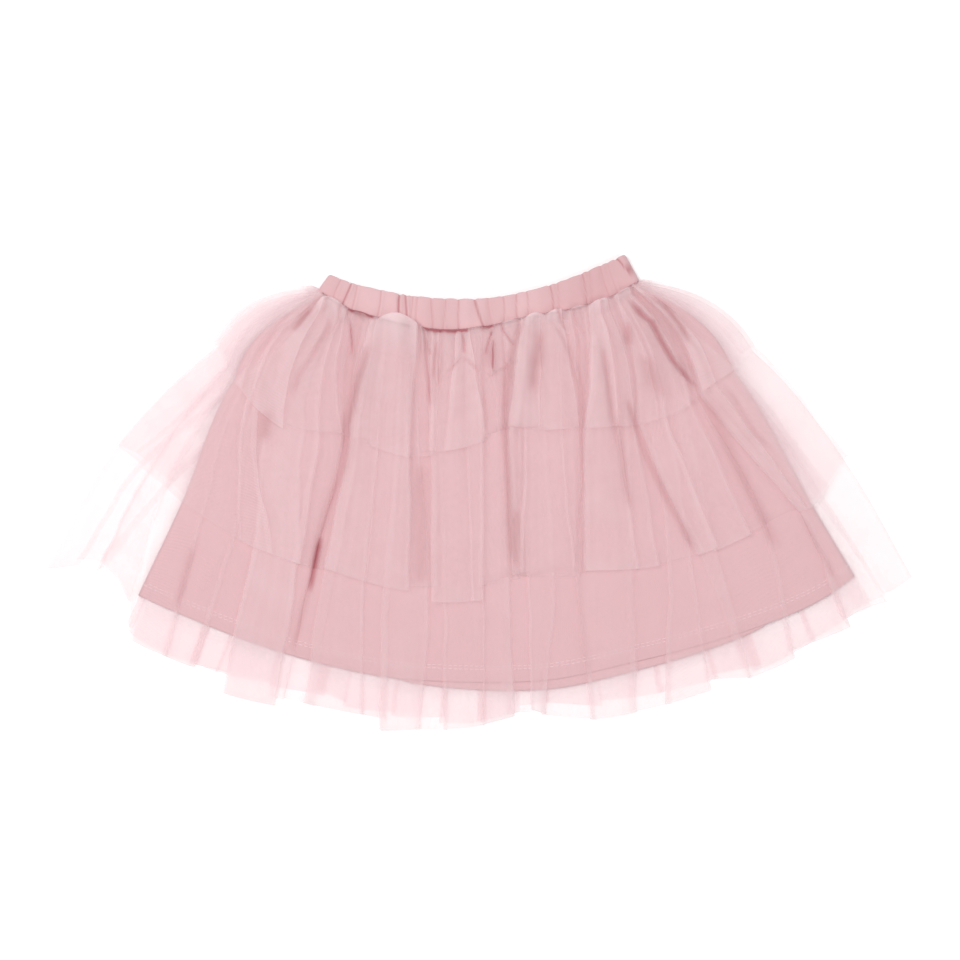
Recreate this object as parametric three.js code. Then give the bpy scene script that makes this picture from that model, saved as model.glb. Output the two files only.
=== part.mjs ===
// A child's tulle skirt laid flat on its back. A gathered jersey waistband carries a flared
// jersey lining, of a front and a back panel, and three gathered tulle tiers. Each tier is
// one tube of cloth pressed flat round the lining, and the short tier is the outermost.
// Millimetres, +Z up. The waist points to +Y and the hems to -Y. The front of the skirt
// faces up, and its back lies on the surface at z = 0.
import * as THREE from 'three';

// Thickness of one layer of tulle or lining, and the gap between neighbouring pieces
const CLOTH = 1.2;
const GAP = 0.3;
const LAYER = CLOTH + GAP;

// The waistband is a casing round an elastic: its wall, its height when pressed flat, and
// the height of the puckers that the elastic gathers on its front
const BAND_WALL = 2.4;
const BAND_HEIGHT = 9;
const PUCKER_HEIGHT = 1.8;

// How far the outermost lines of the skirt bow out between the seam and the short hem, and
// where along the seam they start
const SIDE_BOW = 11;
const SEAM_END = 118;

// A step down over the edge of the cloth below takes this much length
const STEP_LENGTH = 3;

// Each fold grows through the three tiers: the share of its height that each one adds
const FOLD_SHARE = { long: 0.45, mid: 0.3, short: 0.25 };

// Share of a gather's height that is left where the seam pinches it
const PINCHED = 0.15;

// A fold keeps its height past the mid hem for longer than it would on a straight line:
// share of the way to its height at the long hem that it has gone at the lining's hem
const SETTLED_AT_LINING = 0.7;

// Slope past which a wall gets no more height
const STEEPEST = 1.6;

// Fold lines that lie further apart than this at the mid hem get lines between them
const LINE_SPACING = 12;

const { lerp, clamp } = THREE.MathUtils;

// The waist seam and the hems, each as a few points that its curve runs through
const SEAM = curve([
  { x: -125, y: 156 },
  { x: -117, y: 149 },
  { x: -100, y: 138.5 },
  { x: -75, y: 130.5 },
  { x: -48, y: 124 },
  { x: -20, y: 121.5 },
  { x: 10, y: 125 },
  { x: 38, y: 131.5 },
  { x: 75, y: 138.5 },
  { x: 100, y: 147 },
  { x: 122, y: 160 },
]);
const SHORT_HEM = curve([
  { x: -183, y: 85 },
  { x: -163, y: 63 },
  { x: -135, y: 46 },
  { x: -100, y: 40 },
  { x: -60, y: 33 },
  { x: -20, y: 33 },
  { x: 20, y: 42 },
  { x: 100, y: 50 },
  { x: 139, y: 59 },
  { x: 165, y: 72 },
  { x: 191, y: 91 },
]);
const MID_HEM = curve([
  { x: -223, y: -6 },
  { x: -201, y: -21 },
  { x: -171, y: -39 },
  { x: -127, y: -55 },
  { x: -84, y: -66 },
  { x: -40, y: -71 },
  { x: 0, y: -70 },
  { x: 80, y: -60 },
  { x: 163, y: -46 },
  { x: 199, y: -31 },
  { x: 229, y: -15 },
  { x: 250, y: -9 },
]);
const LINING_HEM = curve([
  { x: -256, y: -76 },
  { x: -232, y: -87 },
  { x: -165, y: -113.5 },
  { x: -97, y: -132.5 },
  { x: -44, y: -140 },
  { x: 49, y: -140 },
  { x: 117, y: -126 },
  { x: 173, y: -111.5 },
  { x: 222, y: -95 },
  { x: 255, y: -80 },
  { x: 281, y: -62 },
]);
const LONG_HEM = curve([
  { x: -261, y: -108 },
  { x: -193, y: -141 },
  { x: -135, y: -156 },
  { x: -75, y: -171 },
  { x: -11, y: -175 },
  { x: 45, y: -168 },
  { x: 117, y: -159 },
  { x: 174, y: -143 },
  { x: 225, y: -126 },
  { x: 270, y: -102 },
  { x: 294, y: -86 },
]);

// The back lining panel hangs a little lower than the front one over this stretch
const BACK_LINING = { from: -60, to: 215, drop: 7 };

// The folds of the front, from left to right. Each line runs from the seam to the long hem:
// x where it crosses each hem, its height just below the seam and at each hem, and how far
// the hem hangs below its curve there. Crests and valleys take turns.
const FOLDS = foldRows(`
  kind    seam   short  mid    long   puff  hShort  hMid  hLong  dShort  dMid  dLong
  crest  -112.5  -172   -213   -243   5     4       2     2       0       0     0
  valley -110.5  -166   -204   -229   3     3       0.5   0       0       0     0
  crest  -108.5  -160   -192   -212   5     4       2     2       0       0     0
  valley -106.5  -152   -177   -197   0     1       0     0       0       0    -8
  crest  -104    -141   -168   -192   7     5       3     2       0       0     8
  valley -100.5  -131   -152   -174   1     1       1     1       0       0     7
  crest   -95    -112   -134   -154   6     5       4     2       0       0     7
  valley  -87    -100   -124   -147   0     0       0     0       0       0    -1
  crest   -80     -88   -109   -122   8     5       4     2       0       0     0
  valley  -72     -73    -86    -88   4     3       2     0.5     0       0    -5
  crest   -66     -67    -74    -75   7     5       3     2       1       0     6
  crest   -60     -57    -62    -58   9     6       3     1.5     4       0     4
  valley  -47     -46    -41    -42   0     0       0     0       5      -1     2
  crest   -38.5   -36    -35    -30   4     4       4     2       2      10     2
  valley  -33     -27    -25    -21   0     2       2     1       2      10     1
  crest   -24     -14    -15    -12   7     5       3     2       1       9     0
  valley  -13      -6     -8     -4   2     2       1     0.5     0      10     0
  crest    -3       3      2      2   6     5       4     2       0      10    -1
  valley    5       8      5.5    6   0     0       0     0      -1      -2    -1
  crest    13      14     19     20   6     4       4     2      -4      -2    -3
  valley   22      20     25     28   0     0       0     0      -3      -4    -5
  crest    30      25     31     40   9     6       5     3      -3      -4    -7
  valley   45      45     51     52   5     3       1     0.5    -1      -3    -3
  crest    57      62     62     66   8     5       3     2       2      -2     7
  valley   67      76     75     83   0     0       0     0      -2      -1     4
  crest    76      88     94     99   8     6       4     2.5     0       1     4
  valley   84     101    115    117   1     1       0     0       0       1     5
  crest    91     110    125    139   7     5       3     1.5     0       0     4
  valley   97     118    152    176   0     0       0     0       0       0     0
  crest   102     138    172    210   6     5       4     3       0       0     3
  valley  105     150    187    226   3     2       1     1       0       0     2
  crest   107.5   159    200    240   7     5       2     2       0       0    -6
  valley  109.5   167    221    262   0     0       0     0       0       0     0
  crest   111     174    237    277   6     4       3     2       0       0     2
  valley  112.5   182    243    285   2     2       1     1       0       0     1
`);

// The lines beside the lining, from the outside in. The first three are the side folds of
// the short, the mid and the long tier, one inside the other. The next crosses the loose
// tulle, and the last two lie just outside the edge of the lining and along it. Each has its
// x at the seam, then x and y where it meets the short hem, the mid hem, the level of the
// lining's hem and the long hem.
const LEFT_LINES = [
  { seam: -124.5, short: [-200.5, 116.5] },
  { seam: -122, short: [-198.5, 114.5], mid: [-273, 38] },
  { seam: -119.5, short: [-196.4, 112.6], mid: [-270.5, 36], lining: [-298, -17], long: [-324, -56] },
  { seam: -118, short: [-192, 102], mid: [-247, 17], lining: [-268, -31], long: [-284, -59] },
  { seam: -116.5, short: [-185, 87.4], mid: [-225, -3.5], lining: [-257.8, -75.4], long: [-271, -80] },
  { seam: -114.5, short: [-183, 85], mid: [-222.5, -6], lining: [-255.5, -77.5], long: [-261, -108] },
];
const RIGHT_LINES = [
  { seam: 122, short: [208, 112] },
  { seam: 119.5, short: [206, 110], mid: [275, 28] },
  { seam: 117.5, short: [204, 108.4], mid: [273, 26], lining: [302, -24], long: [324, -62.5] },
  { seam: 116.3, short: [198.5, 101.5], mid: [264.5, 13], lining: [290, -42], long: [308.5, -77.5] },
  { seam: 115.2, short: [192.7, 92.8], mid: [251.5, -6.6], lining: [283, -60], long: [300.5, -83] },
  { seam: 114, short: [190.5, 90.8], mid: [249.3, -9], lining: [281, -62], long: [294, -86] },
];
const LINES_BESIDE = LEFT_LINES.length;

// The waistband: where its lower edge meets the seam, and the points of its top edge
const BAND_STATIONS = [
  { x: -121, topX: -111, topY: 163.5 },
  { x: -100, topX: -94, topY: 157 },
  { x: -75, topX: -73, topY: 152 },
  { x: -49, topX: -51, topY: 148 },
  { x: -22, topX: -26, topY: 145.8 },
  { x: 8, topX: 4, topY: 146 },
  { x: 38, topX: 31, topY: 150.3 },
  { x: 72, topX: 62, topY: 159 },
  { x: 100, topX: 89, topY: 170 },
  { x: 119.5, topX: 108, topY: 178.4 },
];

// The creases across the front of the band, as x at the middle of its height, and how deep
// each is
const BAND_CREASES = [
  { x: -116, depth: 1 },
  { x: -104, depth: 0.8 },
  { x: -96, depth: 0.6 },
  { x: -75, depth: 0.7 },
  { x: -57, depth: 1 },
  { x: -47, depth: 0.6 },
  { x: -36, depth: 0.5 },
  { x: -26, depth: 0.8 },
  { x: -14, depth: 0.7 },
  { x: 1, depth: 1 },
  { x: 10, depth: 0.6 },
  { x: 20, depth: 0.7 },
  { x: 29, depth: 0.5 },
  { x: 38, depth: 0.6 },
  { x: 56, depth: 0.9 },
  { x: 79, depth: 1 },
  { x: 95, depth: 0.8 },
  { x: 114, depth: 1 },
];

// The rows of every layer, down from the seam. Each lies part of the way from one level to
// the next, with some length past it, and has this many back tiers under the lining.
const ROWS = [
  { from: 'seam', to: 'short', part: 0, past: 0, tiers: 3 },
  { from: 'seam', to: 'short', part: 0.3, past: 0, tiers: 3 },
  { from: 'seam', to: 'short', part: 0.64, past: 0, tiers: 3 },
  { from: 'short', to: 'mid', part: 0, past: 0, tiers: 3 },
  { from: 'short', to: 'mid', part: 0, past: STEP_LENGTH, tiers: 2 },
  { from: 'short', to: 'mid', part: 0.35, past: 0, tiers: 2 },
  { from: 'short', to: 'mid', part: 0.7, past: 0, tiers: 2 },
  { from: 'mid', to: 'lining', part: 0, past: 0, tiers: 2 },
  { from: 'mid', to: 'lining', part: 0, past: STEP_LENGTH, tiers: 1 },
  { from: 'mid', to: 'lining', part: 0.5, past: 0, tiers: 1 },
  { from: 'lining', to: 'long', part: 0, past: 0, tiers: 1 },
  { from: 'lining', to: 'long', part: 0, past: STEP_LENGTH, tiers: 1 },
  { from: 'lining', to: 'long', part: 1, past: 0, tiers: 1 },
];
const SHORT_ROW = 3;
const MID_ROW = 7;
const LINING_ROW = 10;
const LONG_ROW = ROWS.length - 1;

// Height of the lining's underside at each level: it rests on the tiers of the back
const LINING_REST = { seam: 3 * LAYER, short: 3 * LAYER, mid: 2 * LAYER, lining: LAYER, long: LAYER };

// Columns across the back of a tier and across a lining panel, and how far the side edges
// of a lining panel stay inside the line of tulle along them
const BACK_COLUMNS = 14;
const LINING_COLUMNS = 20;
const LINING_INSET = 0.8;

// Columns along the front and the back of the band, its rows from the top edge down to the
// seam as parts of its width, how far its two edges are rounded down, the width of the slope
// beside a crease, and the power by which the puckers fade out towards both ends
const BAND_FRONT_COLUMNS = 64;
const BAND_BACK_COLUMNS = 16;
const BAND_ROWS = [1, 0.86, 0.5, 0.14, 0];
const BAND_EDGE_ROUNDING = 0.6;
const CREASE_SLOPE = 5;
const PUCKER_FADE = 0.25;

// Straight edges between columns cut the curve of the seam, so the band stays this far
// above it, and the flat layers, which have fewer columns, the same below it
const SEAM_EASE = 0.4;

// A smooth curve y(x) through the given points, straight past its ends
function curve(points) {
  const last = points.length - 1;
  const slope = (i) => {
    const a = points[Math.max(i - 1, 0)];
    const b = points[Math.min(i + 1, last)];
    return (b.y - a.y) / (b.x - a.x);
  };
  return (x) => {
    if (x <= points[0].x) return points[0].y + slope(0) * (x - points[0].x);
    if (x >= points[last].x) return points[last].y + slope(last) * (x - points[last].x);
    const i = points.findIndex((p) => p.x > x) - 1;
    const width = points[i + 1].x - points[i].x;
    const t = (x - points[i].x) / width;
    const blend = t * t * (3 - 2 * t);
    const lift = width * t * (1 - t) * ((1 - t) * slope(i) - t * slope(i + 1));
    return lerp(points[i].y, points[i + 1].y, blend) + lift;
  };
}

// Reads a table of folds, whose first row names its columns
function foldRows(table) {
  const [head, ...rows] = table.trim().split('\n').map((row) => row.trim().split(/\s+/));
  return rows.map((row) => {
    const entries = row.map((cell, i) => [head[i], i === 0 ? cell : Number(cell)]);
    return Object.fromEntries(entries);
  });
}

// The hem of the back lining panel: a shallow arc below the front one's
function backLiningHem(x) {
  const t = clamp((x - BACK_LINING.from) / (BACK_LINING.to - BACK_LINING.from), 0, 1);
  return LINING_HEM(x) - BACK_LINING.drop * Math.sqrt(Math.sin(Math.PI * t));
}

// The point between a and b where the straight line crosses the curve of a hem, found by
// halving the stretch that holds it
function crossing(a, b, hem) {
  const halvings = 30;
  let above = 0;
  let below = 1;
  for (let i = 0; i < halvings; i++) {
    const t = (above + below) / 2;
    const p = a.clone().lerp(b, t);
    if (p.y > hem(p.x)) above = t;
    else below = t;
  }
  return a.clone().lerp(b, above);
}

// The points of one line where it crosses the rows. Between the seam and the short hem the
// line bows away from the middle of the skirt, the more so the nearer it is to a side.
function rowPoints(levels, start) {
  const side = Math.sign(start);
  const bow = SIDE_BOW * Math.min(Math.abs(start) / SEAM_END, 1) ** 3;
  return ROWS.filter((row) => levels[row.from] && (levels[row.to] || row.part === 0)).map((row) => {
    const from = levels[row.from];
    if (!levels[row.to]) return from.clone();
    const along = levels[row.to].clone().sub(from);
    const way = along.clone().normalize();
    const p = from.clone().addScaledVector(along, row.part).addScaledVector(way, row.past);
    if (row.from === 'seam') {
      const out = new THREE.Vector2(-way.y, way.x).multiplyScalar(side);
      p.addScaledVector(out, bow * 4 * row.part * (1 - row.part));
    }
    return p;
  });
}

// A line of the tulle beside the lining
function sideColumn(line, index) {
  const levels = { seam: new THREE.Vector2(line.seam, SEAM(line.seam)) };
  for (const level of ['short', 'mid', 'lining', 'long']) {
    if (line[level]) levels[level] = new THREE.Vector2(...line[level]);
  }
  return { plan: rowPoints(levels, line.seam), overLining: index === LINES_BESIDE - 1 };
}

// A line of the tulle over the lining, from its x at each level and its drops below the hems
function innerColumn(fold) {
  const levels = {
    seam: new THREE.Vector2(fold.seam, SEAM(fold.seam)),
    short: new THREE.Vector2(fold.short, SHORT_HEM(fold.short) - fold.dShort),
    mid: new THREE.Vector2(fold.mid, MID_HEM(fold.mid) - fold.dMid),
    long: new THREE.Vector2(fold.long, LONG_HEM(fold.long) - fold.dLong),
  };
  levels.lining = crossing(levels.mid, levels.long, (x) => backLiningHem(x) - GAP);
  return { plan: rowPoints(levels, fold.seam), heights: foldHeights(fold), overLining: true };
}

// The height of a fold at each row
function foldHeights(fold) {
  const atLining = lerp(fold.hMid, fold.hLong, SETTLED_AT_LINING);
  const levels = { seam: fold.puff, short: fold.hShort, mid: fold.hMid, lining: atLining, long: fold.hLong };
  return ROWS.map((row, i) => {
    const height = lerp(levels[row.from], levels[row.to], row.part);
    return i === 0 ? height * PINCHED : height;
  });
}

// The columns of the front: the fold lines, and lines between them where they lie far
// apart, which round each crest and keep each valley sharp
function frontColumns() {
  const columns = [];
  FOLDS.forEach((fold, i) => {
    columns.push(innerColumn(fold));
    const next = FOLDS[i + 1];
    if (!next) return;
    const steps = Math.max(1, Math.round((next.mid - fold.mid) / LINE_SPACING));
    for (let k = 1; k < steps; k++) {
      const t = k / steps;
      const rise = roundedShare(fold.kind, next.kind, t);
      const between = {};
      for (const name of Object.keys(fold)) {
        const share = /^(puff|h)/.test(name) ? rise : t;
        between[name] = lerp(fold[name], next[name], share);
      }
      columns.push(innerColumn(between));
    }
  });
  const left = LEFT_LINES.map(sideColumn);
  const right = RIGHT_LINES.map(sideColumn).reverse();
  return [...left, ...columns, ...right];
}

// How far the height has gone from one fold line to the next, part t of the way across
function roundedShare(kind, nextKind, t) {
  if (kind === 'valley' && nextKind === 'crest') return Math.sin((Math.PI / 2) * t);
  if (kind === 'crest' && nextKind === 'valley') return 1 - Math.sin((Math.PI / 2) * (1 - t));
  return t;
}

// Evenly spread lines between the edges of the lining, for the flat layers
function evenColumns(count, liningHem) {
  const left = LEFT_LINES[LINES_BESIDE - 1];
  const right = RIGHT_LINES[LINES_BESIDE - 1];
  const columns = [];
  for (let i = 0; i <= count; i++) {
    const t = i / count;
    const level = (name) => lerp([left[name]].flat()[0], [right[name]].flat()[0], t);
    const point = (name, hem) => new THREE.Vector2(level(name), hem(level(name)));
    const levels = {
      seam: point('seam', (x) => SEAM(x) - SEAM_EASE),
      short: point('short', SHORT_HEM),
      mid: point('mid', MID_HEM),
      lining: point('lining', liningHem),
      long: point('long', LONG_HEM),
    };
    columns.push({ plan: rowPoints(levels, levels.seam.x) });
  }
  return columns;
}

// Underside of a tier's back at a row: it lies on the shorter tiers that reach that far
function backRest(tier, row) {
  const under = { short: 0, mid: row <= SHORT_ROW ? 1 : 0 };
  under.long = row <= SHORT_ROW ? 2 : row <= MID_ROW ? 1 : 0;
  return under[tier] * LAYER;
}

// Underside of the lining at a row
function liningRest(row) {
  const { from, to, part } = ROWS[row];
  return lerp(LINING_REST[from], LINING_REST[to], part);
}

// Top of what lies under the front of the tulle: the lining, or beside it the tulle's back
function groundHeight(column, row) {
  const onLining = column.overLining && row <= LINING_ROW;
  return onLining ? liningRest(row) + 2 * LAYER : ROWS[row].tiers * LAYER - GAP;
}

// Gives each column of the front the underside and the top of the three tiers, from the
// longest one up, each with its share of the folds. A steep wall gets more height, so that
// it stays as thick across the cloth.
function stackFront(columns) {
  let under = columns.map((column) => column.plan.map((p, r) => groundHeight(column, r)));
  for (const tier of ['long', 'mid', 'short']) {
    const share = FOLD_SHARE[tier];
    const low = columns.map(({ plan, heights }, c) =>
      plan.map((p, r) => under[c][r] + GAP + share * (heights ? heights[r] : 0)),
    );
    const wall = (c, r) => CLOTH * Math.hypot(1, steepness(columns, low, c, r));
    const high = low.map((rows, c) => rows.map((z, r) => z + wall(c, r)));
    columns.forEach((column, c) => {
      column[tier] = { low: low[c], high: high[c] };
    });
    under = high;
  }
  return columns;
}

// The steeper slope from a point to its neighbours in the two next columns
function steepness(columns, z, c, r) {
  let slope = 0;
  for (const n of [c - 1, c + 1]) {
    if (z[n] === undefined || z[n][r] === undefined) continue;
    const run = columns[n].plan[r].distanceTo(columns[c].plan[r]);
    slope = Math.max(slope, Math.abs(z[n][r] - z[c][r]) / run);
  }
  return Math.min(slope, STEEPEST);
}

const at = (p, z) => new THREE.Vector3(p.x, p.y, z);

// One column of a tube wall, from its outer and its inner height at each row
function wallColumn(plan, rows, outerAt, innerAt) {
  const points = plan.slice(0, rows + 1);
  return {
    outer: points.map((p, r) => at(p, outerAt(r))),
    inner: points.map((p, r) => at(p, innerAt(r))),
  };
}

// The side fold of a tier, halfway up, with the wall's thickness towards the next line in
function foldColumn(column, next, tier, rows) {
  const middle = (r) => (backRest(tier, r) + column[tier].high[r]) / 2;
  const points = column.plan.slice(0, rows + 1);
  return {
    outer: points.map((p, r) => at(p, middle(r))),
    inner: points.map((p, r) => at(p.clone().add(next.plan[r].clone().sub(p).setLength(CLOTH)), middle(r))),
  };
}

// A tulle tier: its front, its side folds and its back as one flattened tube
function tierGeometry(tier, nesting, rows) {
  const front = stackFront(frontColumns());
  const last = front.length - 1 - nesting;
  const beside = (lines) => lines.slice(nesting + 1).map(sideColumn);
  const even = evenColumns(BACK_COLUMNS, LINING_HEM).slice(1, -1);
  const back = [...beside(LEFT_LINES), ...even, ...beside(RIGHT_LINES).reverse()];
  const ring = [foldColumn(front[nesting], front[nesting + 1], tier, rows)];
  for (const column of front.slice(nesting + 1, last)) {
    const { low, high } = column[tier];
    ring.push(wallColumn(column.plan, rows, (r) => high[r], (r) => low[r]));
  }
  ring.push(foldColumn(front[last], front[last - 1], tier, rows));
  const rest = (r) => backRest(tier, r);
  for (const column of back.reverse()) {
    ring.push(wallColumn(column.plan, rows, rest, (r) => rest(r) + CLOTH));
  }
  return tubeGeometry(ring);
}

// A lining panel: a single wall that follows the cloth under it
function liningGeometry(hem, rest) {
  const upper = [];
  const lower = [];
  evenColumns(LINING_COLUMNS, hem).forEach((column, i) => {
    const atSide = i === 0 || i === LINING_COLUMNS;
    const inward = atSide ? LINING_INSET * Math.sign(LINING_COLUMNS / 2 - i) : 0;
    const points = column.plan.slice(0, LINING_ROW + 1);
    const place = (z) => points.map((p, r) => new THREE.Vector3(p.x + inward, p.y, rest(r) + z));
    upper.push(place(CLOTH));
    lower.push(place(0));
  });
  return slabGeometry(upper, lower);
}

// A point of the waistband, part s along it and part w of the way up from the seam
function bandPoint(s, w) {
  const span = s * (BAND_STATIONS.length - 1);
  const i = Math.min(Math.floor(span), BAND_STATIONS.length - 2);
  const a = BAND_STATIONS[i];
  const b = BAND_STATIONS[i + 1];
  const t = span - i;
  const x = lerp(a.x, b.x, t);
  const low = new THREE.Vector2(x, SEAM(x) + SEAM_EASE);
  const high = new THREE.Vector2(lerp(a.topX, b.topX, t), lerp(a.topY, b.topY, t));
  return low.lerp(high, w);
}

// Height of the puckers on the band's front: full between two creases, low in each, and
// down to nothing at both ends
function pucker(s) {
  const { x } = bandPoint(s, 0.5);
  let height = Math.sin(Math.PI * s) ** PUCKER_FADE;
  for (const crease of BAND_CREASES) {
    const near = Math.abs(x - crease.x) / CREASE_SLOPE;
    if (near < 1) height *= 1 - crease.depth * Math.cos((Math.PI / 2) * near);
  }
  return PUCKER_HEIGHT * height;
}

// One column of the band at part s of its length, from its outer and inner heights. The
// rounding goes down from the outer height along both edges.
function bandColumn(s, outerZ, innerZ, rounding) {
  const rows = BAND_ROWS.map((w, r) => {
    const atEdge = r === 0 || r === BAND_ROWS.length - 1;
    return { p: bandPoint(s, w), drop: atEdge ? rounding : 0 };
  });
  return {
    outer: rows.map(({ p, drop }) => at(p, outerZ - drop)),
    inner: rows.map(({ p }) => at(p, innerZ)),
  };
}

// The fold at one end of the band, halfway up, with the wall's thickness towards its middle
function bandFold(s) {
  const middle = BAND_HEIGHT / 2;
  const points = BAND_ROWS.map((w) => bandPoint(s, w));
  const inward = BAND_ROWS.map((w, r) => bandPoint(0.5, w).sub(points[r]).setLength(BAND_WALL));
  return {
    outer: points.map((p) => at(p, middle)),
    inner: points.map((p, r) => at(p.clone().add(inward[r]), middle)),
  };
}

// The waistband: a flattened tube, puckered in front and flat where it rests
function bandGeometry() {
  const ring = [bandFold(0)];
  for (let i = 1; i < BAND_FRONT_COLUMNS; i++) {
    const s = i / BAND_FRONT_COLUMNS;
    const top = BAND_HEIGHT + pucker(s);
    ring.push(bandColumn(s, top, BAND_HEIGHT - BAND_WALL, BAND_EDGE_ROUNDING));
  }
  ring.push(bandFold(1));
  for (let i = BAND_BACK_COLUMNS - 1; i > 0; i--) {
    ring.push(bandColumn(i / BAND_BACK_COLUMNS, 0, BAND_WALL, 0));
  }
  return tubeGeometry(ring);
}

// Joins two triangles over a square of points, always across the same corners
function square(faces, a, b, c, d) {
  faces.push([a, b, c], [a, c, d]);
}

// A closed wall from columns of outer and inner points that run round it
function tubeGeometry(ring) {
  const faces = [];
  const rows = ring[0].outer.length;
  ring.forEach((here, i) => {
    const next = ring[(i + 1) % ring.length];
    for (let r = 0; r + 1 < rows; r++) {
      square(faces, here.outer[r], here.outer[r + 1], next.outer[r + 1], next.outer[r]);
      faces.push([here.inner[r], next.inner[r + 1], here.inner[r + 1]]);
      faces.push([here.inner[r], next.inner[r], next.inner[r + 1]]);
    }
    const end = rows - 1;
    square(faces, here.inner[0], here.outer[0], next.outer[0], next.inner[0]);
    square(faces, here.outer[end], here.inner[end], next.inner[end], next.outer[end]);
  });
  return meshGeometry(faces);
}

// A closed wall from an upper and a lower grid of points, column by column
function slabGeometry(upper, lower) {
  const faces = [];
  const columns = upper.length;
  const rows = upper[0].length;
  for (let c = 0; c + 1 < columns; c++) {
    for (let r = 0; r + 1 < rows; r++) {
      square(faces, upper[c][r], upper[c][r + 1], upper[c + 1][r + 1], upper[c + 1][r]);
      faces.push([lower[c][r], lower[c + 1][r + 1], lower[c][r + 1]]);
      faces.push([lower[c][r], lower[c + 1][r], lower[c + 1][r + 1]]);
    }
    const end = rows - 1;
    square(faces, lower[c][0], upper[c][0], upper[c + 1][0], lower[c + 1][0]);
    square(faces, upper[c][end], lower[c][end], lower[c + 1][end], upper[c + 1][end]);
  }
  const side = columns - 1;
  for (let r = 0; r + 1 < rows; r++) {
    square(faces, upper[0][r], lower[0][r], lower[0][r + 1], upper[0][r + 1]);
    square(faces, lower[side][r], upper[side][r], upper[side][r + 1], lower[side][r + 1]);
  }
  return meshGeometry(faces);
}

function meshGeometry(faces) {
  const positions = faces.flat().flatMap((p) => p.toArray());
  const geometry = new THREE.BufferGeometry();
  geometry.setAttribute('position', new THREE.Float32BufferAttribute(positions, 3));
  geometry.computeVertexNormals();
  return geometry;
}

// Materials: matt cotton jersey for the band and the lining, sheer tulle for the tiers
function cloth(color, roughness) {
  return new THREE.MeshStandardMaterial({ color, roughness, metalness: 0, side: THREE.DoubleSide });
}
const BAND_PINK = '#e6b9bd';
const LINING_PINK = '#e3b8ba';
const TULLE_PINK = '#f3d3d7';

const skirt = new THREE.Group();

function add(name, geometry, material) {
  const mesh = new THREE.Mesh(geometry, material);
  mesh.name = name;
  skirt.add(mesh);
}

add('waistband', bandGeometry(), cloth(BAND_PINK, 0.9));
add('lining_back', liningGeometry(backLiningHem, liningRest), cloth(LINING_PINK, 0.9));
add('lining_front', liningGeometry(LINING_HEM, (r) => liningRest(r) + LAYER + GAP), cloth(LINING_PINK, 0.9));
add('tulle_long_tier', tierGeometry('long', 2, LONG_ROW), cloth(TULLE_PINK, 0.7));
add('tulle_mid_tier', tierGeometry('mid', 1, MID_ROW), cloth(TULLE_PINK, 0.7));
add('tulle_short_tier', tierGeometry('short', 0, SHORT_ROW), cloth(TULLE_PINK, 0.7));

export default skirt;
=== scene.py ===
import math

import bmesh
import bpy
import numpy as np
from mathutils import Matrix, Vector
from mathutils.bvhtree import BVHTree


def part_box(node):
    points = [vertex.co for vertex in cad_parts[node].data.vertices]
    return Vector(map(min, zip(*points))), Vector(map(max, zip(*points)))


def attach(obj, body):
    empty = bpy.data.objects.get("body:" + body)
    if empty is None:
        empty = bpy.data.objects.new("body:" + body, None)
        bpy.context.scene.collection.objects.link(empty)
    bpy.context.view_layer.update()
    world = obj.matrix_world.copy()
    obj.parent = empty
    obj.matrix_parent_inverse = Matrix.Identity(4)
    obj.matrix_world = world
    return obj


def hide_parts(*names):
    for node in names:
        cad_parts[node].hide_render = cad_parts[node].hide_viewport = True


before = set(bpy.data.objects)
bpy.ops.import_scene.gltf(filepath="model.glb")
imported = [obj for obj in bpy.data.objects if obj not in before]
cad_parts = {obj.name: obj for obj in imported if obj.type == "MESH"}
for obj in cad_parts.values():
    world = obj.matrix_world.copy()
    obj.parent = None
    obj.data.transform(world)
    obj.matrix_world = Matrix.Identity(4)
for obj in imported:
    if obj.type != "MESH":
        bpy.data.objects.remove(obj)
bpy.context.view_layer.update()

# The tables hold millimetres, and the meshes metres
MM = 0.001

# The wander of the folds, the pleats of the back and all ripples are drawn from this seed
SEED = 20


# Tables and curves

def table(text):
    """Rows of a text table as dicts; its first row names the columns."""
    head, *rows = [line.split() for line in text.strip().splitlines()]
    return [
        {name: cell if name == "over" else float(cell) for name, cell in zip(head, row)}
        for row in rows
    ]


def crease_table(text):
    """Creases from a text table: the sizes of each, and its points, as x,y, from the top down."""
    creases = []
    for line in text.strip().splitlines()[1:]:
        half, deep, dark, *points = line.split()
        xs, ys = np.array([point.split(",") for point in points], float).T
        creases.append({"half": float(half), "deep": float(deep), "dark": float(dark), "x": xs, "y": ys})
    return creases


def curve(*points):
    """A smooth curve y(x) through the given points, straight past its ends."""
    xs, ys = np.array(points, float).T
    last = len(xs) - 1
    before = np.maximum(np.arange(last + 1) - 1, 0)
    after = np.minimum(np.arange(last + 1) + 1, last)
    slopes = (ys[after] - ys[before]) / (xs[after] - xs[before])

    def y_at(x):
        x = np.asarray(x, float)
        i = np.clip(np.searchsorted(xs, x, side="right") - 1, 0, last - 1)
        width = xs[i + 1] - xs[i]
        t = np.clip((x - xs[i]) / width, 0, 1)
        blend = t * t * (3 - 2 * t)
        lift = width * t * (1 - t) * ((1 - t) * slopes[i] - t * slopes[i + 1])
        inside = ys[i] + (ys[i + 1] - ys[i]) * blend + lift
        left = np.minimum(x - xs[0], 0) * slopes[0]
        right = np.maximum(x - xs[last], 0) * slopes[last]
        return inside + left + right

    return y_at


def smooth(t):
    """A soft step from 0 to 1."""
    t = np.clip(t, 0, 1)
    return t * t * (3 - 2 * t)


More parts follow.
